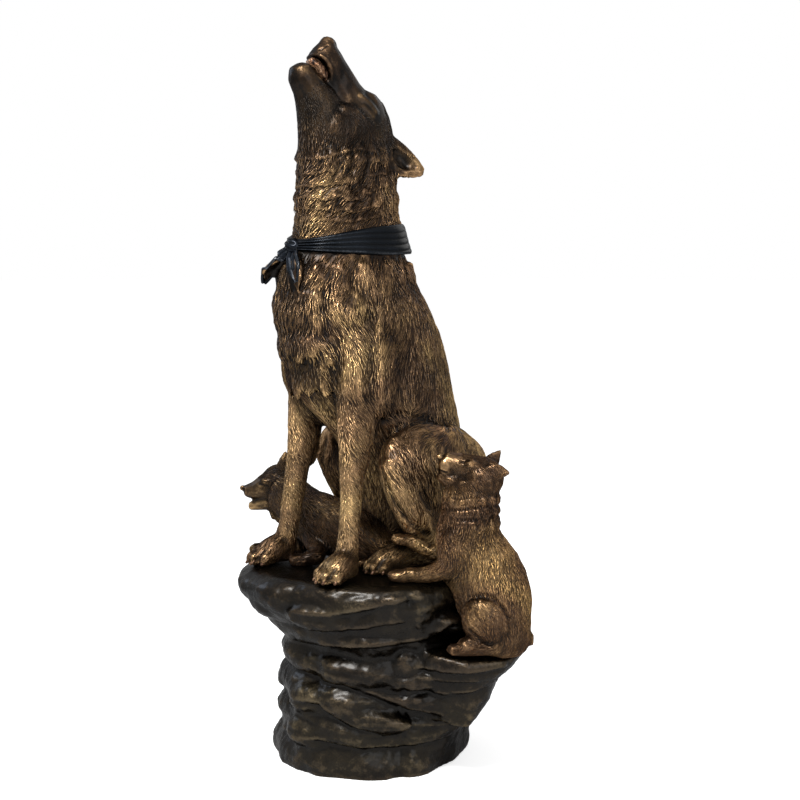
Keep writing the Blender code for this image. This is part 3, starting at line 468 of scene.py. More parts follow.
# Lie of the fur: place, direction, length and width of a stroke in mm, and how far its tip stands up
WOLF_FLOW = (
    # Muzzle, jaw and brow, left bare or with the shortest strokes
    ((0, -0.11, 1.17), (0, 0.4, -1), 0, 2.1, 0.1), ((0.03, -0.15, 1.13), (0, 0.3, -1), 0, 2.1, 0.1),
    ((0, -0.19, 1.11), (0, 0.2, -1), 0, 2.1, 0.1), ((0.03, -0.10, 1.10), (0, 0.4, -1), 0, 2.5, 0.1),
    ((0.045, -0.05, 1.04), (0, 0.5, -1), 0, 2.5, 0.1), ((0.035, -0.16, 1.07), (0, 0.2, -1), 9, 2.1, 0.16),
    ((0, -0.05, 1.09), (0, 0.4, -1), 0, 2.5, 0.13), ((0, 0, 1.02), (0, 0.3, -1), 11, 2.5, 0.19),
    ((0.06, -0.08, 1.02), (0, 0.2, -1), 11, 2.5, 0.19), ((0.05, -0.14, 1.02), (0, 0, -1), 12, 2.5, 0.22),
    ((0, 0.035, 0.96), (0, 0.1, -1), 16, 3, 0.32), ((0.06, 0.0, 0.97), (0, 0.3, -1), 13, 2.5, 0.26),
    # Cheek ruff and neck: the front half runs to the throat, the back half runs down
    ((0.08, -0.09, 0.95), (0, -0.4, -1), 21, 3.6, 0.64), ((0, -0.19, 0.95), (0, 0, -1), 23, 4, 0.7),
    ((0.085, -0.02, 0.90), (0, 0.1, -1), 23, 3.6, 0.64),
    ((0.085, -0.12, 0.87), (0, -0.8, -1), 25, 3.6, 0.77),
    ((0, 0.05, 0.86), (0, 0, -1), 26, 4, 0.77), ((0, -0.19, 0.83), (0, 0, -1), 25, 4, 0.77),
    ((0.09, -0.09, 0.79), (0, -0.9, -1), 25, 3.6, 0.77), ((0.09, 0.0, 0.80), (0, 0.1, -1), 25, 3.6, 0.77),
    ((0.035, -0.185, 0.91), (-0.7, -0.3, -1), 21, 3.2, 0.58),
    ((0.065, -0.16, 0.86), (-0.6, -0.7, -0.9), 22, 3.2, 0.64),
    ((0.035, -0.19, 0.84), (-0.8, -0.3, -0.9), 22, 3.2, 0.64),
    ((0.06, -0.17, 0.78), (-0.7, -0.6, -0.8), 22, 3.2, 0.64),
    # Chest and shoulder: strokes fan out below the band
    ((0.09, -0.19, 0.68), (0, -0.7, -1), 25, 3.6, 0.64), ((0.12, -0.08, 0.66), (0, 0, -1), 26, 3.6, 0.58),
    ((0.12, 0.03, 0.68), (0, 0.5, -1), 26, 3.6, 0.58), ((0, -0.24, 0.64), (0, 0, -1), 28, 4, 0.77),
    ((0, 0.12, 0.66), (0, 0.3, -1), 26, 4, 0.51), ((0.11, -0.17, 0.55), (0, 0.5, -1), 24, 3.6, 0.64),
    ((0.13, -0.04, 0.52), (0, -0.4, -1), 24, 3.6, 0.58), ((0, -0.23, 0.52), (0, 0, -1), 28, 4, 0.77),
    ((0.12, -0.10, 0.44), (0, 0.2, -1), 23, 3.6, 0.45), ((0, -0.19, 0.42), (0, 0.3, -1), 25, 4, 0.64),
    # Flank, back and belly: long combed strokes
    ((0.13, 0.06, 0.50), (0, 0.1, -1), 29, 3, 0.29), ((0.13, 0.10, 0.38), (0, 0.1, -1), 29, 3, 0.26),
    ((0, 0.21, 0.45), (0, 0.3, -1), 29, 3.6, 0.29), ((0, 0.26, 0.2), (0, 0.1, -1), 29, 3.6, 0.32),
    ((0.10, -0.02, 0.36), (0, 0.5, -1), 25, 3, 0.32), ((0, -0.05, 0.25), (0, 0, -1), 23, 3.6, 0.32),
    # Foreleg: diagonal strokes that wind back and down, and run out over the toes
    ((0.10, -0.12, 0.36), (0, 0.6, -1), 17, 2.5, 0.29), ((0.10, -0.14, 0.24), (0, 0.6, -1), 15, 2.3, 0.26),
    ((0.11, -0.15, 0.12), (0, 0.6, -1), 14, 2.3, 0.26),
    ((0.12, -0.20, 0.05), (0, -0.8, -0.6), 12, 2.3, 0.19),
    ((0.125, -0.235, 0.03), (0, -1, -0.5), 9, 2.1, 0.13),
    # Haunch: from the knee round and back, then down to the hock
    ((0.15, -0.06, 0.25), (0.5, 0.25, -1), 21, 2.8, 0.26),
    ((0.17, -0.02, 0.20), (0, 0.6, -1), 23, 2.8, 0.26),
    ((0.18, 0.05, 0.22), (0, 0.1, -1), 23, 2.8, 0.26), ((0.15, 0.05, 0.34), (0, -0.9, -0.3), 23, 3, 0.22),
    ((0.17, 0.15, 0.18), (0, 0, -1), 25, 3, 0.26), ((0.16, 0.10, 0.08), (0, -0.3, -1), 21, 2.8, 0.26),
    ((0.13, 0.03, 0.04), (0, -1, -0.2), 14, 2.5, 0.19), ((0.12, -0.07, 0.03), (0, -1, -0.5), 10, 2.3, 0.16),
)


def stroke_shape():
    """One chased stroke of length 1 and half width 1: a low ridge between two cut lines."""
    bm = bmesh.new()
    end = bm.faces.new([bm.verts.new(p) for p in ((-1, 0, -0.5), (0, 0, 1), (1, 0, -0.5))])
    for _ in range(STATIONS - 1):
        pulled = bmesh.ops.extrude_face_region(bm, geom=[end])["geom"]
        bmesh.ops.translate(bm, vec=(0, 1 / (STATIONS - 1), 0),
                            verts=[g for g in pulled if isinstance(g, bmesh.types.BMVert)])
        end = [g for g in pulled if isinstance(g, bmesh.types.BMFace)][0]
    bmesh.ops.recalc_face_normals(bm, faces=bm.faces)
    bm.verts.index_update()
    points = np.array([v.co for v in bm.verts])
    faces = [[v.index for v in f.verts] for f in bm.faces]
    bm.free()
    return points, faces


STATIONS = 4
STROKE_POINTS, STROKE_FACES = stroke_shape()
# Along a stroke from root to tip: its share of the width, of the tip's lift, and how rubbed it is
STROKE_AT = (0, 0.33, 0.7, 1)
STROKE_WIDTH = (0.30, 1.0, 0.8, 0.08)
STROKE_LIFT = (-0.8, 0.3, 0.8, 0.5)
STROKE_RUB = (0.25, 0.85, 1.0, 0.7)
# Clear ground round a root, in metres for each mm of a stroke's length and width taken together
STROKE_SPACING = 0.00061


def laid_out(flow, turn=0, at=(0, 0, 0), both_sides=True):
    """The lie of the fur in the group's axes, from an animal's own, with its right side like its left."""
    spin, at = Matrix.Rotation(math.radians(turn), 3, "Z"), Vector(at)
    rows = list(flow)
    if both_sides:
        rows += [((-spot[0], *spot[1:]), (-way[0], *way[1:]), *rest)
                 for spot, way, *rest in flow if spot[0] > 0]
    return [(tuple(at + spin @ Vector(spot)), tuple(spin @ Vector(way)), *rest)
            for spot, way, *rest in rows]


def lie_of_fur(places, outward, flow):
    """Direction along the surface, length, width and lift of the fur at each place."""
    spots = np.array([r[0] for r in flow])
    ways = np.array([r[1] for r in flow], float)
    ways /= np.linalg.norm(ways, axis=1)[:, None]
    sizes = np.array([r[2:] for r in flow], float)
    gap = ((places[:, None, :] - spots[None]) ** 2).sum(2)
    weight = 1 / (gap + 0.0004) ** 2.5
    weight /= weight.sum(1)[:, None]
    way = weight @ ways
    way -= outward * np.einsum("ij,ij->i", way, outward)[:, None]
    way /= np.maximum(np.linalg.norm(way, axis=1), 1e-6)[:, None]
    return way, weight @ sizes


def scattered(chance, places, corners, crowding):
    """Random places on a skin, so many to its square metre, and a vertex beside each."""
    a, b, c = (places[corners[:, k]] for k in range(3))
    area = np.linalg.norm(np.cross(b - a, c - a), axis=1) / 2
    wanted = int(area.sum() * crowding)
    chosen = chance.choice(len(area), wanted, p=area / area.sum())
    share = chance.random((wanted, 2))
    flip = share.sum(1) > 1
    share[flip] = 1 - share[flip]
    roots = a[chosen] + (b - a)[chosen] * share[:, :1] + (c - a)[chosen] * share[:, 1:]
    return roots, corners[chosen, 0]


def thinned(roots, spacing):
    """The places that are left when each, in turn, clears the ground round it."""
    tree = KDTree(len(roots))
    for i, p in enumerate(roots):
        tree.insert(p, i)
    tree.balance()
    taken, kept = np.zeros(len(roots), bool), []
    for i, p in enumerate(roots):
        if not taken[i]:
            kept.append(i)
            for _, j, _ in tree.find_range(p, spacing[i]):
                taken[j] = True
    return kept


def run_over(skin, at, facing, going, length):
    """Places, outward directions and ways along strokes that follow the skin from their roots."""
    ground = BVHTree.FromObject(skin, bpy.context.evaluated_depsgraph_get())
    centres, ups, ways = [], [], []
    for k in range(STATIONS):
        if k:
            at = at + going * ((STROKE_AT[k] - STROKE_AT[k - 1]) * length)[:, None]
        found = [ground.find_nearest(p) for p in at]
        at = np.array([f[0] for f in found])
        facing = np.array([f[1] for f in found]) * 0.6 + facing * 0.4
        facing /= np.linalg.norm(facing, axis=1)[:, None]
        going = going - facing * np.einsum("ij,ij->i", going, facing)[:, None]
        going /= np.maximum(np.linalg.norm(going, axis=1), 1e-6)[:, None]
        centres.append(at)
        ups.append(facing)
        ways.append(going)
    return centres, ups, ways


def chased_coat(skin, flow, seed, crowding, shortest, room=None, parts=1, splitter=None):
    """Strokes laid all over a skin. Each is rooted in it and follows it to a tip that stands proud.
    Room gives the longest stroke that each place takes, and the splitter deals them out to parts."""
    chance = np.random.default_rng(seed)
    mesh = skin.data
    mesh.calc_loop_triangles()
    corners = np.empty(len(mesh.loop_triangles) * 3, np.int32)
    mesh.loop_triangles.foreach_get("vertices", corners)
    places, outward = surface(skin)
    roots, beside = scattered(chance, places, corners.reshape(-1, 3), crowding)
    out, swell = outward[beside], form_of(skin)[beside]
    way, sizes = lie_of_fur(roots, out, flow)
    space = room(roots) * 1000 if room else np.full(len(roots), 1000.0)
    fit = (sizes[:, 0] > shortest) & (space > shortest * 0.6)
    roots, out, way, sizes, space, swell = (v[fit] for v in (roots, out, way, sizes, space, swell))
    kept = thinned(roots, STROKE_SPACING * np.sqrt(sizes[:, 0] * sizes[:, 1]))
    roots, out, way, sizes, space, swell = (v[kept] for v in (roots, out, way, sizes, space, swell))
    count = len(kept)
    length = np.minimum(sizes[:, 0] * (0.8 + 0.45 * chance.random(count)), space) / 1000
    half = sizes[:, 1] / 2000 * (0.85 + 0.4 * chance.random(count))
    lift = sizes[:, 2] / 1000 * (0.7 + 0.7 * chance.random(count))
    sway = (chance.random(count) - 0.5) * 0.45 + lumpy(roots, 19) * 0.5
    way = way + np.cross(out, way) * sway[:, None]
    row = np.rint(STROKE_POINTS[:, 1] * (STATIONS - 1)).astype(int)
    centres, ups, ways = (np.stack(v, 1)[:, row] for v in run_over(skin, roots, out, way, length))
    sides = np.cross(ways, ups)
    wide = half[:, None] * np.array(STROKE_WIDTH)[row]
    high = lift[:, None] * np.array(STROKE_LIFT)[row] + wide * 0.52 * STROKE_POINTS[:, 2]
    points = centres + sides * (wide * STROKE_POINTS[:, 0])[..., None] + ups * high[..., None]
    # The ridge of a stroke is rubbed; it is brighter still where the form swells, partly from wear and
    #     partly as a painted sheen, and its tone follows the form too, which is painted sheen as well
    ridge = np.where(STROKE_POINTS[:, 2] > 0, 1, 0.2)
    worn = ridge * np.array(STROKE_RUB)[row] * (0.6 + 0.4 * chance.random(count))[:, None]
    worn = worn * np.clip((sizes[:, 0] - 3) / 15, 0.45, 1)[:, None]
    worn = np.clip(worn + (swell - 0.5)[:, None] * 0.7 * (0.3 + 0.7 * ridge), 0, 1)
    shade = np.clip(0.2 + 0.6 * chance.random(count) + 0.9 * (swell - 0.5), 0, 1)
    tone = np.repeat(shade[:, None], len(row), 1)
    strand = np.stack([wide * STROKE_POINTS[:, 0] * 900, STROKE_POINTS[:, 1] * length[:, None] * 90,
                       tone * 60], 2)
    group = splitter(roots) if splitter else np.zeros(count, int)
    made = []
    for part in range(parts):
        mine = group == part
        first = np.arange(mine.sum())[:, None] * len(row)
        faces = [ring for face in STROKE_FACES for ring in (first + np.array(face)).tolist()]
        coat = bpy.data.meshes.new("strokes")
        coat.from_pydata(points[mine].reshape(-1, 3).tolist(), [], faces)
        coat.shade_smooth()
        coat_object = add_object(skin.name + f"_fur_{part + 1}", coat)
        give(coat_object, "worn", worn[mine].ravel())
        give(coat_object, "tone", tone[mine].ravel())
        layer = coat.attributes.new("strand", "FLOAT_VECTOR", "POINT")
        layer.data.foreach_set("vector", strand[mine].astype(np.float32).ravel())
        made.append(coat_object)
    return made


# Neckerchief's lie, which the coat leaves free: its folded band, the neck under it (height, front,
# back and half width) and its two hanging ends
BAND_MIDDLE, BAND_BACK_HALF, BAND_FRONT_HALF = 0.752, 0.034, 0.013
NECK_AXIS = 0.062
NECK = ((0.68, -0.239, 0.109, 0.116), (0.74, -0.209, 0.085, 0.102), (0.84, -0.192, 0.0545, 0.090))
LEAF_ENDS = (((-0.008, -0.214, 0.737), (-0.034, -0.232, 0.712), (-0.058, -0.243, 0.685),
              (-0.076, -0.246, 0.652)),
             ((-0.004, -0.218, 0.737), (0.014, -0.236, 0.716), (0.032, -0.245, 0.690),
              (0.044, -0.248, 0.660)))
EAR = ((0.064, 0.014, 1.392), (0.090, 0.084, 1.357))
LEAF_CLEAR, EAR_CLEAR = 0.021, 0.024


def band_edge(angle, share):
    """Height of the band at an angle round the neck; share is -1 at its lower edge and 1 at its upper."""
    front = (1 - np.sin(angle)) / 2
    half = BAND_BACK_HALF + (BAND_FRONT_HALF - BAND_BACK_HALF) * front ** 3
    return up(BAND_MIDDLE - 0.012 * front ** 2 + half * share)


def wolf_room(places):
    """How long a stroke may be at each place: none on the band and its ends, in the ears and where a
    paw meets the rock."""
    x, y, z = places.T
    angle = np.arctan2(y + NECK_AXIS, x)
    above, below = z - band_edge(angle, 1), band_edge(angle, -1) - z
    space = np.where(above > 0, above + 0.003, np.where(below > 0, 1.0, 0))
    for line in LEAF_ENDS:
        space[along_line(places, [(x, y, up(h)) for x, y, h in line])[0] < LEAF_CLEAR] = 0
    for side in (1, -1):
        ear = [(side * x, y, z) for x, y, z in EAR]
        space[along_line(places, ear)[0] < EAR_CLEAR] = 0
    space[places[:, 2] < up(0.006)] = 0
    return space


WOLF_PLACED = laid_out(WOLF_FLOW, at=(0, 0, ROCK_TOP))

# Forms worked into the wax before the fur was cut. Each is a line with its radius and height.
HEAD_FORMS = (
    # Closed eye, its lids, the brow over it, the nostril and the lips
    (((0.060, -0.078, 1.492), (0.063, -0.070, 1.485), (0.067, -0.065, 1.477), (0.070, -0.056, 1.468),
      (0.072, -0.049, 1.462)), 0.0052, -0.0050),
    (((0.058, -0.066, 1.499), (0.064, -0.056, 1.489), (0.068, -0.046, 1.477)), 0.009, 0.0024),
    (((0.064, -0.088, 1.487), (0.070, -0.078, 1.474), (0.073, -0.062, 1.459)), 0.008, 0.0014),
    (((0.050, -0.066, 1.522), (0.057, -0.052, 1.509), (0.063, -0.038, 1.490)), 0.015, 0.0040),
    (((0.044, -0.092, 1.542), (0.050, -0.083, 1.527), (0.057, -0.080, 1.508)), 0.013, -0.0012),
    (((0.017, -0.157, 1.622), (0.022, -0.150, 1.628), (0.024, -0.140, 1.632)), 0.005, -0.0045),
    (((0.006, -0.128, 1.652), (0.016, -0.126, 1.648), (0.024, -0.118, 1.636)), 0.006, 0.0016),
    (((0.026, -0.162, 1.608), (0.033, -0.148, 1.597), (0.035, -0.135, 1.577), (0.028, -0.133, 1.556)),
     0.0065, 0.0026),
    (((0.020, -0.186, 1.566), (0.030, -0.168, 1.556), (0.034, -0.150, 1.549)), 0.007, 0.0024),
    # Cheek bone, and the swell that runs from it to the corner of the mouth
    (((0.070, -0.10, 1.462), (0.078, -0.07, 1.440), (0.080, -0.03, 1.425)), 0.022, 0.0012),
    (((0.019, -0.134, 1.546), (0.034, -0.132, 1.526), (0.046, -0.124, 1.504), (0.060, -0.119, 1.492),
      (0.067, -0.099, 1.486)), 0.019, 0.0034),
    # Cup of the ear
    (((0.068, 0.020, 1.405), (0.066, 0.034, 1.392), (0.072, 0.046, 1.377)), 0.016, -0.0034),
)
TRUNK_FORMS = (
    # Upper arm: a long ridge from the shoulder to the elbow between two valleys
    (((0.102, -0.163, 1.096), (0.111, -0.156, 1.057), (0.107, -0.155, 0.997), (0.119, -0.157, 0.937),
      (0.124, -0.147, 0.877)), 0.034, 0.0070),
    (((0.13, -0.083, 1.07), (0.13, -0.1, 1.016), (0.142, -0.105, 0.957), (0.139, -0.112, 0.896),
      (0.135, -0.107, 0.855)), 0.030, -0.0085),
    (((0.088, -0.204, 1.051), (0.093, -0.187, 0.985), (0.097, -0.171, 0.936), (0.081, -0.172, 0.888)),
     0.026, -0.0075),
    # Shoulder blade
    (((0.098, -0.139, 1.158), (0.111, -0.100, 1.135), (0.124, -0.06, 1.09)), 0.040, 0.0050),
    # Tendon and wrist of the foreleg
    (((0.128, -0.150, 0.80), (0.130, -0.160, 0.70), (0.130, -0.170, 0.60)), 0.020, 0.0030),
)
# The thigh's rim, and the groove that parts it from the flank and the shin
THIGH_FORMS = (
    (((0.128, -0.062, 0.765), (0.145, -0.058, 0.70), (0.158, -0.042, 0.65), (0.168, -0.015, 0.605),
      (0.178, 0.02, 0.575)), 0.034, 0.0060),
    (((0.118, -0.075, 0.765), (0.130, -0.079, 0.713), (0.143, -0.077, 0.674), (0.153, -0.064, 0.633),
      (0.162, -0.043, 0.595), (0.171, -0.015, 0.566), (0.177, 0.023, 0.545)), 0.013, -0.0065),
    (((0.118, -0.075, 0.765), (0.109, -0.05, 0.80), (0.119, -0.011, 0.812), (0.125, 0.032, 0.811),
      (0.124, 0.082, 0.80), (0.128, 0.122, 0.781)), 0.016, -0.0045),
    (((0.135, -0.03, 0.775), (0.145, 0.02, 0.785), (0.15, 0.08, 0.77)), 0.030, 0.0040),
)


def sculpted(places, outward, forms, shift_right=0.0):
    """Presses lines into both sides of the wolf; its right thigh lies a little further back."""
    for side in (1, -1):
        for line, radius, height in forms:
            back = shift_right if side < 0 else 0.0
            places = carve(places, outward, [(x * side, y + back, z) for x, y, z in line], radius, height)
    return places


def combed(places, outward, flow, size, reach):
    """Noise drawn out along the lie of the fur, which makes locks out of lumps."""
    way, sizes = lie_of_fur(places, outward, flow)
    total = sum(lumpy((places + way * (step * reach / 3)) / size, 1) for step in range(-3, 4))
    return total / 7 * np.clip(sizes[:, 0] / 20, 0, 1)


def give_form(skin, reach, gain, shift):
    """How far each place stands out of the form round it, which decides how bright its fur is:
    partly rubbed wear and partly a painted sheen where the form swells; the shift makes parts of the
    animal brighter or darker."""
    values = 0.5 + hollow_mask(skin, reach) * gain + shift(*surface(skin)[0].T)
    give(skin, "form", np.clip(values, 0.08, 0.85))


def skin_wear_and_sheen(skin, reach, gain):
    """A skin's wear and tone, from its own small hollows and from the form; the form's part is partly a
    painted sheen where the skin swells.
    """
    give(skin, "worn", np.clip(0.46 + hollow_mask(skin, reach) * gain + 0.6 * (form_of(skin) - 0.5), 0, 1))
    give(skin, "tone", 0.5 + 0.7 * (form_of(skin) - 0.5))


def form_of(skin):
    """The form's numbers, as given before."""
    values = np.empty(len(skin.data.vertices), np.float32)
    skin.data.attributes["form"].data.foreach_get("value", values)
    return values


def slimmer_nape(places):
    """Draws the back of the neck in round the band, where the coat lies flat under the scarf."""
    near_band = eased(1 - np.abs(places[:, 2] - up(0.685)) / 0.11)
    drawn = places.copy()
    drawn[:, 1] -= 0.016 * eased((places[:, 1] + 0.02) / 0.07) * near_band
    return drawn


places, outward = surface(head)
places = sculpted(places, outward, HEAD_FORMS)
# Neck: layers of ruff, each hanging a little over the one below, up to the ragged edge of the cheek
NECK_LAYER, LOWEST_LAYER, RUFF_DEPTH, NECK_LOCKS = 0.0262, 1.246, 0.0036, 0.0045
CHEEK_EDGE = ((0.043, -0.179, 1.380), (0.070, -0.141, 1.393), (0.082, -0.104, 1.403),
              (0.086, -0.066, 1.399))
x, y, z = places.T
wander, ragged = fractal(places, 9, 1.0, 2.0, 2), lumpy(places, 48)
tilt = 0.17 * (y + 0.19) * np.clip((z - 1.24) / 0.12, 0.2, 1)
layer = (z - tilt - LOWEST_LAYER) / NECK_LAYER + 0.55 * wander + 0.26 * ragged
over = 1 - (layer - np.floor(layer))
over = np.where(over > 0.88, (1 - over) / 0.12, over / 0.88) ** 1.3
on_neck = eased((z - tilt - 1.232) / 0.02) * eased((1.400 - z + tilt) / 0.012)
on_neck *= 1 - eased((y + 0.04) / 0.04) * eased((z - 1.35) / 0.02)
ruff = (over - 0.45) * RUFF_DEPTH * on_neck * (0.7 + 0.9 * wander)
locks = combed(places, outward, WOLF_PLACED, 0.012, 0.016)
places = places + outward * (ruff + locks * NECK_LOCKS)[:, None]
for side in (1, -1):
    cheek_edge = [(x * side, y, z) for x, y, z in CHEEK_EDGE]
    places = overhang(places, outward, cheek_edge, 0.020, 0.0022, 0.002)
reshape(head, slimmer_nape(places))

places, outward = surface(trunk)
for line in LEAF_ENDS:
    places = carve(places, outward, [(x, y, up(h)) for x, y, h in line], 0.024, -0.004)
places = sculpted(places, outward, TRUNK_FORMS)
places = sculpted(places, outward, THIGH_FORMS, 0.042)
CHEST_TUFTS, TRUNK_LOCKS = 0.0045, 0.0050
x, y, z = places.T
on_chest = (eased((0.115 - np.abs(x)) / 0.03) * eased((-0.15 - y) / 0.03)
            * eased((z - 0.88) / 0.05) * eased((1.13 - z) / 0.04))
tufts = fractal(places, 30, 0.9, 2.0, 2) * on_chest
locks = combed(places, outward, WOLF_PLACED, 0.014, 0.022)
places = slimmer_nape(places + outward * (tufts * CHEST_TUFTS + locks * TRUNK_LOCKS)[:, None])
# Grooves between the toes
for paw in PAWS:
    for k in (-1, 0, 1):
        groove = [on_paw(paw, k * 0.19, -0.30, 0.54), on_paw(paw, k * 0.22, -0.6, 0.40),
                  on_paw(paw, k * 0.235, -0.92, 0.14)]
        places = carve(places, outward, groove, 0.0085, -0.0060)
reshape(trunk, places)
# The face is darker than the neck, the forelegs are brighter with a painted highlight, and the throat
# and chest are darkest
give_form(head, 60, 55, lambda x, y, z: -0.34 * eased((z - 1.33) / 0.12)
          - 0.18 * eased((0.05 - x) / 0.04) * eased((-0.13 - y) / 0.04))
# Painted highlight: the forelegs' fur is made brighter
give_form(trunk, 50, 48, lambda x, y, z: 0.10 * eased((up(0.40) - z) / 0.05) * eased((-0.05 - y) / 0.03)
          - 0.36 * eased((0.085 - x) / 0.05) * eased((-0.13 - y) / 0.03) * eased((z - up(0.40)) / 0.05))
for skin in (head, trunk):
    skin_wear_and_sheen(skin, 4, 320)

fur_bronze = bronze("wolf_fur_bronze", (0.008, 0.0048, 0.0026), (0.045, 0.0253, 0.0106),
                    (0.51, 0.32, 0.15), (7.0, 0.45), (0.48, 1.14), (0.22, 0.34), (420, 0.3), 0.25,
                    strands=1.6)
skin_bronze = bronze("wolf_skin_bronze", (0.006, 0.004, 0.0026), (0.040, 0.0228, 0.0105),
                     (0.26, 0.158, 0.075), (24.0, 1.5), (0.50, 1.05), (0.2, 0.34), (210, 0.5), 0.25)


def body_part(places):
    """Which piece of the trunk's coat a stroke belongs to: chest, back, foreleg or hindquarter, by side."""
    x, y, z = places.T
    return np.where(z < up(0.40), 4, 0) + np.where(y < -0.06, 0, 2) + (x > 0)


# Strokes tried to the square metre, and the shortest kept, in mm
HEAD_CROWDING, TRUNK_CROWDING, PUP_CROWDING = 150000, 130000, 420000
SHORT_FUR, LONG_FUR = 6.0, 8.0
coats = chased_coat(head, WOLF_PLACED, 11, HEAD_CROWDING, SHORT_FUR, wolf_room)
coats += chased_coat(trunk, WOLF_PLACED, 12, TRUNK_CROWDING, LONG_FUR, wolf_room, 8, body_part)
for obj in coats:
    obj.data.materials.append(fur_bronze)
    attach(obj, "root")
for obj in (head, trunk):
    obj.data.materials.append(skin_bronze)
    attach(obj, "root")
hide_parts("wolf")

# Claws: four to a paw, short and blunt, rubbed to a coppery brown.
claws = bmesh.new()
for paw in PAWS:
    width = paw[3]
    for place, reach in TOES:
        base = on_paw(paw, place * 0.232, -reach - 0.02, 0.19)
        tip = on_paw(paw, place * 0.240, -reach - 0.15, 0.07)
        turn = (tip - base).to_track_quat("Z", "Y").to_matrix().to_4x4()
        bmesh.ops.create_cone(claws, cap_ends=True, segments=12, radius1=0.060 * width,
                              radius2=0.034 * width, depth=(tip - base).length,
                              matrix=Matrix.Translation((base + tip) / 2) @ turn)
bmesh.ops.bevel(claws, geom=claws.edges[:], offset=0.0014, segments=2, profile=0.5, affect="EDGES",
                material=-1)
claw_piece = piece_from(claws, "wolf_claws")
give(claw_piece, "worn", 0.7)
give(claw_piece, "tone", 0.4)
copper_bronze = bronze("claw_bronze", (0.012, 0.006, 0.004), (0.085, 0.042, 0.024), (0.34, 0.2, 0.12),
                       (30.0, 0.9), (0.6, 1.2), (0.2, 0.34), (300, 0.2), 0.6)
claw_piece.data.materials.append(copper_bronze)
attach(claw_piece, "root")


# Tongue and gums: a lump inside the open jaws, left a dull red-brown.
TONGUE_AT, TONGUE_RADII, TONGUE_TURN = (0, -0.151, up(1.119)), (0.0255, 0.0160, 0.036, 1), 38
tongue = bmesh.new()
bmesh.ops.create_icosphere(tongue, subdivisions=4, radius=1)
laid = Matrix.Translation(TONGUE_AT) @ Matrix.Rotation(math.radians(TONGUE_TURN), 4, "X")
bmesh.ops.transform(tongue, matrix=laid @ Matrix.Diagonal(TONGUE_RADII), verts=tongue.verts)
tongue_piece = piece_from(tongue, "wolf_tongue")
places, outward = surface(tongue_piece)
lumps = fractal(places, 120, 0.8, 2.0, 3)
reshape(tongue_piece, places + outward * (lumps * 0.0026)[:, None])
give(tongue_piece, "worn", np.clip(0.45 + lumps * 0.6, 0, 1))
give(tongue_piece, "tone", 0.3)
red_bronze = bronze("mouth_bronze", (0.010, 0.005, 0.004), (0.135, 0.066, 0.034), (0.46, 0.29, 0.18),
                    (60.0, 1.8), (0.46, 1.1), (0.2, 0.36), (260, 0.9), 0.5)
tongue_piece.data.materials.append(red_bronze)
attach(tongue_piece, "root")


# Neckerchief: modelled in the wax on the wolf's neck and cast with it, then patinated blue-black.
# Its folds run round the band and close up towards the knot at the throat.
def neck_at(height):
    """Middle, half depth and half width of the neck's plain oval."""
    heights = [up(row[0]) for row in NECK]
    front, back, half = (np.interp(height, heights, [row[k] for row in NECK]) for k in (1, 2, 3))
    return (front + back) / 2, (back - front) / 2, half


GIRTH_SLOTS = 72


def girth_round():
    """How far the finished neck under the band reaches past its plain oval, all the way round."""
    places = np.concatenate([surface(skin)[0] for skin in (head, trunk)])
    height = places[:, 2]
    turn = np.arctan2(places[:, 1] + NECK_AXIS, places[:, 0])
    under = (height > band_edge(turn, -1) - 0.004) & (height < band_edge(turn, 1) + 0.004)
    places, height = places[under], height[under]
    middle, deep, wide = neck_at(height)
    across, back = places[:, 0] / wide, (places[:, 1] - middle) / deep
    slot = ((np.arctan2(back, across) + math.pi) / (2 * math.pi) * GIRTH_SLOTS).astype(int) % GIRTH_SLOTS
    reach = np.full(GIRTH_SLOTS, 0.9)
    np.maximum.at(reach, slot, np.hypot(across, back))
    widest = np.max([np.roll(reach, k) for k in (-1, 0, 1)], axis=0)
    return np.mean([np.roll(widest, k) for k in (-2, -1, 0, 1, 2)], axis=0)


girth = girth_round()
BAND_FOLDS = 5
band = bmesh.new()
bmesh.ops.create_grid(band, x_segments=180, y_segments=40, size=1)
for v in band.verts:
    angle, share = math.pi * v.co.x, v.co.y
    front = (1 - math.sin(angle)) / 2
    height = float(band_edge(angle, share))
    middle, deep, wide = neck_at(height)
    rise = (share + 1) / 2
    run = BAND_FOLDS * rise + 0.30 * math.sin(angle * 2 + 0.6) + 0.10 * math.sin(angle * 5)
    fold = abs(math.sin(math.pi * run)) ** 0.7
    deep_fold = (0.2 + 0.8 * front ** 0.6) * (1 - 0.8 * (1 - front) * min(1, rise * 1.6))
    edge = 1 - abs(share) ** 8
    off = 0.0015 + edge * (0.0030 + 0.0022 * front + 0.0048 * deep_fold * fold)
    at = (angle + math.pi) / (2 * math.pi) * GIRTH_SLOTS - 0.5
    reach = float(np.interp(at, np.arange(-1, GIRTH_SLOTS + 1), [girth[-1], *girth, girth[0]]))
    reach = 1 + (reach - 1) * min(1, max(0, 1.7 - 2.4 * front))
    v.co = ((wide * reach + off) * math.cos(angle), middle + (deep * reach + off) * math.sin(angle), height)
bmesh.ops.remove_doubles(band, verts=band.verts, dist=0.0002)
bmesh.ops.recalc_face_normals(band, faces=band.faces)
band_piece = piece_from(band, "kerchief_band")
thick = band_piece.modifiers.new("thickness", "SOLIDIFY")
thick.thickness, thick.offset = 0.003, -1
settled(band_piece)


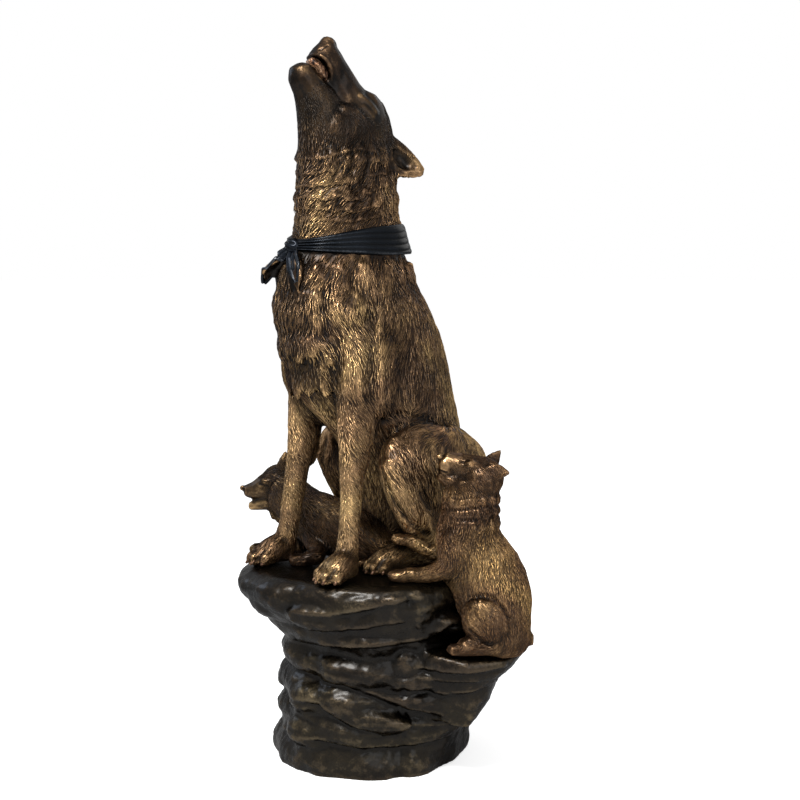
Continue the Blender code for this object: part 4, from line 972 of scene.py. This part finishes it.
def leaf_end(name, line, widths, side, cup):
    """A hanging end of the scarf: a pointed leaf of cloth, folded along its middle."""
    bm = bmesh.new()
    bmesh.ops.create_grid(bm, x_segments=12, y_segments=28, size=1)
    line = [Vector((x, y, up(h))) for x, y, h in line]
    side = Vector(side).normalized()
    for v in bm.verts:
        across, run = v.co.x, (v.co.y + 1) / 2
        where = run * (len(line) - 1)
        k = min(int(where), len(line) - 2)
        spot = line[k].lerp(line[k + 1], where - k)
        ahead = (line[k + 1] - line[k]).normalized()
        level = (side - ahead * side.dot(ahead)).normalized()
        out = ahead.cross(level)
        wide = np.interp(run, (0, 0.3, 0.62, 0.9, 1), widths)
        bulge = cup * (1 - across ** 2) + 0.0022 * math.cos(3 * math.pi * across) * (1 - run)
        v.co = spot + level * across * wide + out * bulge
    bmesh.ops.recalc_face_normals(bm, faces=bm.faces)
    obj = piece_from(bm, name)
    thick = obj.modifiers.new("thickness", "SOLIDIFY")
    thick.thickness, thick.offset = 0.007, 0
    smooth = obj.modifiers.new("round", "SUBSURF")
    smooth.levels = smooth.render_levels = 1
    return settled(obj)


LEAF_CUP = -0.005
leaves = [leaf_end("kerchief_end_right", LEAF_ENDS[0], (0.009, 0.016, 0.021, 0.010, 0.003),
                   (0.55, 0.45, 0.7), LEAF_CUP),
          leaf_end("kerchief_end_left", LEAF_ENDS[1], (0.010, 0.016, 0.019, 0.009, 0.003),
                   (0.9, 0.2, 0.3), LEAF_CUP)]
KNOT_AT, KNOT_RADII = (-0.008, -0.216, up(0.737)), (0.023, 0.018, 0.019, 1)
KNOT_FOLDS = (
    ((-0.03, -0.222, 1.196), (-0.012, -0.236, 1.190), (0.012, -0.23, 1.184)),
    ((-0.03, -0.222, 1.186), (-0.010, -0.236, 1.181), (0.014, -0.228, 1.176)),
    ((-0.022, -0.226, 1.206), (-0.004, -0.234, 1.202), (0.010, -0.228, 1.200)),
)
knot = bmesh.new()
bmesh.ops.create_icosphere(knot, subdivisions=5, radius=1)
bmesh.ops.transform(knot, matrix=Matrix.Translation(KNOT_AT) @ Matrix.Diagonal(KNOT_RADII),
                    verts=knot.verts)
knot_piece = piece_from(knot, "kerchief_knot")
places, outward = surface(knot_piece)
for line in KNOT_FOLDS:
    places = carve(places, outward, line, 0.006, -0.003)
reshape(knot_piece, places)
slate_bronze = bronze("kerchief_bronze", (0.0015, 0.002, 0.003), (0.0065, 0.009, 0.0135),
                      (0.105, 0.11, 0.12), (14.0, 0.5), (0.66, 1.15), (0.16, 0.28), (260, 0.15), 0.3)
for obj in (band_piece, *leaves, knot_piece):
    obj.data.materials.append(slate_bronze)
    give(obj, "worn", np.clip(0.35 + hollow_mask(obj, 4) * 500, 0, 1))
    give(obj, "tone", 0.5)
    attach(obj, "root")


# Pups: each cast by itself, with finer fur than the wolf's, and welded to the rock.
SITTING_FLOW = (
    ((0, 0.160, 0.425), (0, 1, -0.3), 0, 2.2, 0.09), ((0.03, 0.19, 0.40), (0, 1, -0.6), 7, 1.8, 0.12),
    ((0, 0.16, 0.39), (0, 1, -0.5), 7, 1.8, 0.09), ((0, 0.24, 0.435), (0, 1, -0.3), 8, 1.9, 0.15),
    ((0.05, 0.235, 0.39), (0, 0.7, -1), 10, 2.6, 0.24), ((0, 0.29, 0.40), (0, 0.6, -1), 11, 2.6, 0.24),
    ((0, 0.18, 0.35), (0, 0.1, -1), 12, 3, 0.43), ((0.05, 0.22, 0.33), (0, 0, -1), 12, 3.4, 0.63),
    ((0, 0.29, 0.33), (0, 0, -1), 12, 3.4, 0.63), ((0, 0.145, 0.27), (0, 0, -1), 14, 3.2, 0.48),
    ((0.06, 0.21, 0.27), (0, -0.1, -1), 13, 3.2, 0.43), ((0.06, 0.20, 0.22), (0, 0.5, -1), 14, 3, 0.39),
    ((0, 0.31, 0.24), (0, 0.2, -1), 15, 3, 0.29), ((0.07, 0.27, 0.17), (0, 0.1, -1), 14, 3, 0.29),
    ((0, 0.36, 0.10), (0, 0, -1), 15, 3, 0.29), ((0, 0.18, 0.13), (0, 0.2, -1), 13, 3, 0.29),
    ((0.09, 0.23, 0.10), (0, 0.5, -1), 13, 2.6, 0.17), ((0.09, 0.28, 0.07), (0, 0.2, -1), 13, 2.6, 0.17),
    ((0.085, 0.22, 0.05), (0, 0.9, -0.6), 12, 2.6, 0.17), ((0.065, 0.24, 0.02), (0, -1, 0), 10, 2.4, 0.15),
    ((0.062, 0.19, 0.015), (0, -1, -0.3), 9, 2.2, 0.15), ((0.035, 0.14, 0.18), (0, -1, -0.4), 11, 2.4, 0.17),
    ((0.022, 0.075, 0.17), (0, -1, -0.4), 9, 2.2, 0.15), ((0.036, 0.19, 0.20), (0, -0.5, -1), 11, 2.9, 0.24),
)
LYING_BODY_FLOW = (
    ((-0.225, -0.08, 0.18), (1, 0, -0.2), 12, 3, 0.43), ((-0.20, -0.12, 0.13), (0.6, 0, -1), 13, 3, 0.48),
    ((-0.15, -0.07, 0.16), (1, 0, -0.3), 14, 3, 0.33), ((-0.15, -0.12, 0.09), (0.5, 0, -1), 13, 3, 0.39),
    ((-0.08, -0.05, 0.145), (1, 0, -0.1), 15, 3, 0.24), ((-0.09, -0.11, 0.08), (0.8, 0, -0.8), 13, 3, 0.29),
    ((-0.02, -0.03, 0.12), (1, 0, -0.4), 15, 3, 0.24), ((-0.02, -0.09, 0.07), (0.7, 0, -0.8), 13, 2.9, 0.2),
    ((0.05, -0.01, 0.07), (1, 0, -0.6), 14, 3, 0.24), ((-0.10, 0.02, 0.08), (1, 0, -0.5), 14, 3, 0.29),
    ((-0.05, -0.13, 0.03), (-0.6, -0.6, -0.2), 10, 2.4, 0.15),
    ((-0.21, -0.14, 0.03), (-0.4, -0.8, -0.2), 10, 2.4, 0.15),
    ((-0.19, -0.10, 0.05), (-0.3, -0.6, -0.8), 11, 2.6, 0.2),
)
LYING_HEAD_FLOW = (
    ((0, -0.31, 0.14), (0, 1, -0.2), 0, 2.2, 0.09), ((0.02, -0.285, 0.14), (0, 1, -0.2), 0, 2.2, 0.09),
    ((0, -0.29, 0.11), (0, 1, 0), 0, 2.2, 0.09), ((0, -0.25, 0.175), (0, 1, 0.3), 10, 2.2, 0.15),
    ((0.04, -0.24, 0.15), (0, 1, -0.4), 10, 2.4, 0.24),
    ((0.045, -0.22, 0.12), (0, 0.8, -0.6), 11, 2.9, 0.43),
    ((0, -0.21, 0.09), (0, 0.6, -0.8), 12, 3, 0.57),
)
LEDGE_TURN, PUP_GRAIN = -40, 0.0023
pup_bronze = bronze("pup_fur_bronze", (0.009, 0.0052, 0.0027), (0.088, 0.046, 0.0175), (0.92, 0.55, 0.235),
                    (11.0, 0.45), (0.46, 1.10), (0.22, 0.34), (420, 0.3), 0.25, strands=1.6)
ledge_turn = Matrix.Rotation(math.radians(LEDGE_TURN), 3, "Z")
SITTING_AT = ledge_turn @ Vector((0.195, 0, 0)) + Vector((0, 0, 0.30))
LYING_HEAD_AT = ledge_turn @ Vector((-0.163, 0, 0)) + Vector((0, 0, ROCK_TOP))


def pup_carved(places, outward, at, lines):
    """Presses lines into a pup's skin, on both sides of it."""
    for side in (1, -1):
        for line, radius, height in lines:
            placed = [at + ledge_turn @ Vector((x * side, y, z)) for x, y, z in line]
            places = carve(places, outward, placed, radius, height)
    return places


def finish_pup(name, node_name, flow, at, lines, lumps, seed, shift):
    """A pup with lumps put on and lines cut, where at is what their places are measured from."""
    added = [(at + ledge_turn @ Vector(spot), ledge_turn, radii) for spot, radii in lumps]
    skin = finer_copy(name, node_name, PUP_GRAIN, 4, added)
    places, outward = surface(skin)
    places = pup_carved(places, outward, at, lines)
    reshape(skin, places + outward * (combed(places, outward, flow, 0.008, 0.010) * 0.0035)[:, None])
    give_form(skin, 50, 44, shift)
    skin_wear_and_sheen(skin, 5, 450)
    middle = float(np.median(places[:, 2]))
    coats = chased_coat(skin, flow, seed, PUP_CROWDING, SHORT_FUR, parts=2,
                        splitter=lambda spots: (spots[:, 2] > middle).astype(int))
    for obj in (skin, *coats):
        obj.data.materials.append(skin_bronze if obj is skin else pup_bronze)
        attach(obj, "root")
    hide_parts(node_name)


SITTING_LINES = (
    # Haunch: its swell, the deep crease over it and the edge in front of it
    (((0.070, 0.235, 0.095), (0.075, 0.255, 0.075)), 0.050, 0.0070),
    (((0.0584, 0.2191, 0.127), (0.0680, 0.2403, 0.135), (0.0752, 0.2659, 0.131)), 0.013, -0.0040),
    (((0.0752, 0.2659, 0.131), (0.0773, 0.2899, 0.113), (0.0750, 0.3036, 0.087)), 0.009, -0.0080),
    (((0.0796, 0.2187, 0.060), (0.0843, 0.2396, 0.042), (0.0796, 0.2670, 0.028)), 0.009, -0.0045),
    # Ruff: rows round the neck and the chest
    (((0.0, 0.158, 0.345), (0.0226, 0.1669, 0.340), (0.049, 0.2008, 0.346), (0.0488, 0.2399, 0.350),
      (0.025, 0.276, 0.348), (0, 0.285, 0.347)), 0.007, -0.0026),
    (((0.0, 0.150, 0.322), (0.030, 0.165, 0.318), (0.052, 0.200, 0.322), (0.052, 0.240, 0.328),
      (0.025, 0.280, 0.326), (0, 0.29, 0.325)), 0.007, -0.0030),
    (((0.0, 0.146, 0.303), (0.0025, 0.1566, 0.308), (0.047, 0.1861, 0.299), (0.0572, 0.2221, 0.300),
      (0.0339, 0.2717, 0.305), (0, 0.29, 0.306)), 0.008, -0.0026),
    # Eye, lips and nostril
    (((0.024, 0.198, 0.424), (0.030, 0.206, 0.424)), 0.0045, -0.0028),
    (((0.004, 0.146, 0.404), (0.016, 0.152, 0.402), (0.026, 0.176, 0.396), (0.031, 0.196, 0.394)),
     0.005, -0.0045),
    (((0.008, 0.144, 0.432), (0.012, 0.149, 0.428)), 0.004, -0.003),
)
# Lumps put on: the sitting pup's chin, nose pad and two lips, and the lying pup's nose pad and a
# filling in the gap under its body
SITTING_LUMPS = (((0, 0.172, 0.404), (0.021, 0.022, 0.016)),
                 ((0, 0.153, 0.432), (0.0085, 0.007, 0.0065)),
                 ((0.011, 0.167, 0.413), (0.0145, 0.016, 0.020)),
                 ((-0.011, 0.167, 0.413), (0.0145, 0.016, 0.020)))
LYING_LUMPS = (((0, -0.311, 0.145), (0.0085, 0.007, 0.007)),
               ((0.1112, -0.1715, 0.024), (0.045, 0.024, 0.026)))
# The lying pup's eye, lips and nostril
LYING_LINES = (
    (((0.026, -0.268, 0.158), (0.033, -0.258, 0.160), (0.040, -0.248, 0.158)), 0.0045, -0.0035),
    (((0.016, -0.297, 0.120), (0.024, -0.276, 0.118), (0.030, -0.258, 0.118)), 0.005, -0.003),
    (((0.008, -0.312, 0.146), (0.011, -0.308, 0.142)), 0.004, -0.003),
)
# The sitting pup's head is a little brighter than its body; the lying pup is darker, in the shade
finish_pup("sitting_pup_skin", "sitting_pup", laid_out(SITTING_FLOW, LEDGE_TURN, SITTING_AT), SITTING_AT,
           SITTING_LINES, SITTING_LUMPS, 21, lambda x, y, z: 0.05 * eased((z - 0.61) / 0.03))
lying_flow = laid_out(LYING_BODY_FLOW, 0, (0, 0, ROCK_TOP), both_sides=False)
lying_flow += laid_out(LYING_HEAD_FLOW, LEDGE_TURN, LYING_HEAD_AT)
finish_pup("lying_pup_skin", "lying_pup", lying_flow, LYING_HEAD_AT, LYING_LINES, LYING_LUMPS, 22,
           lambda x, y, z: -0.22)
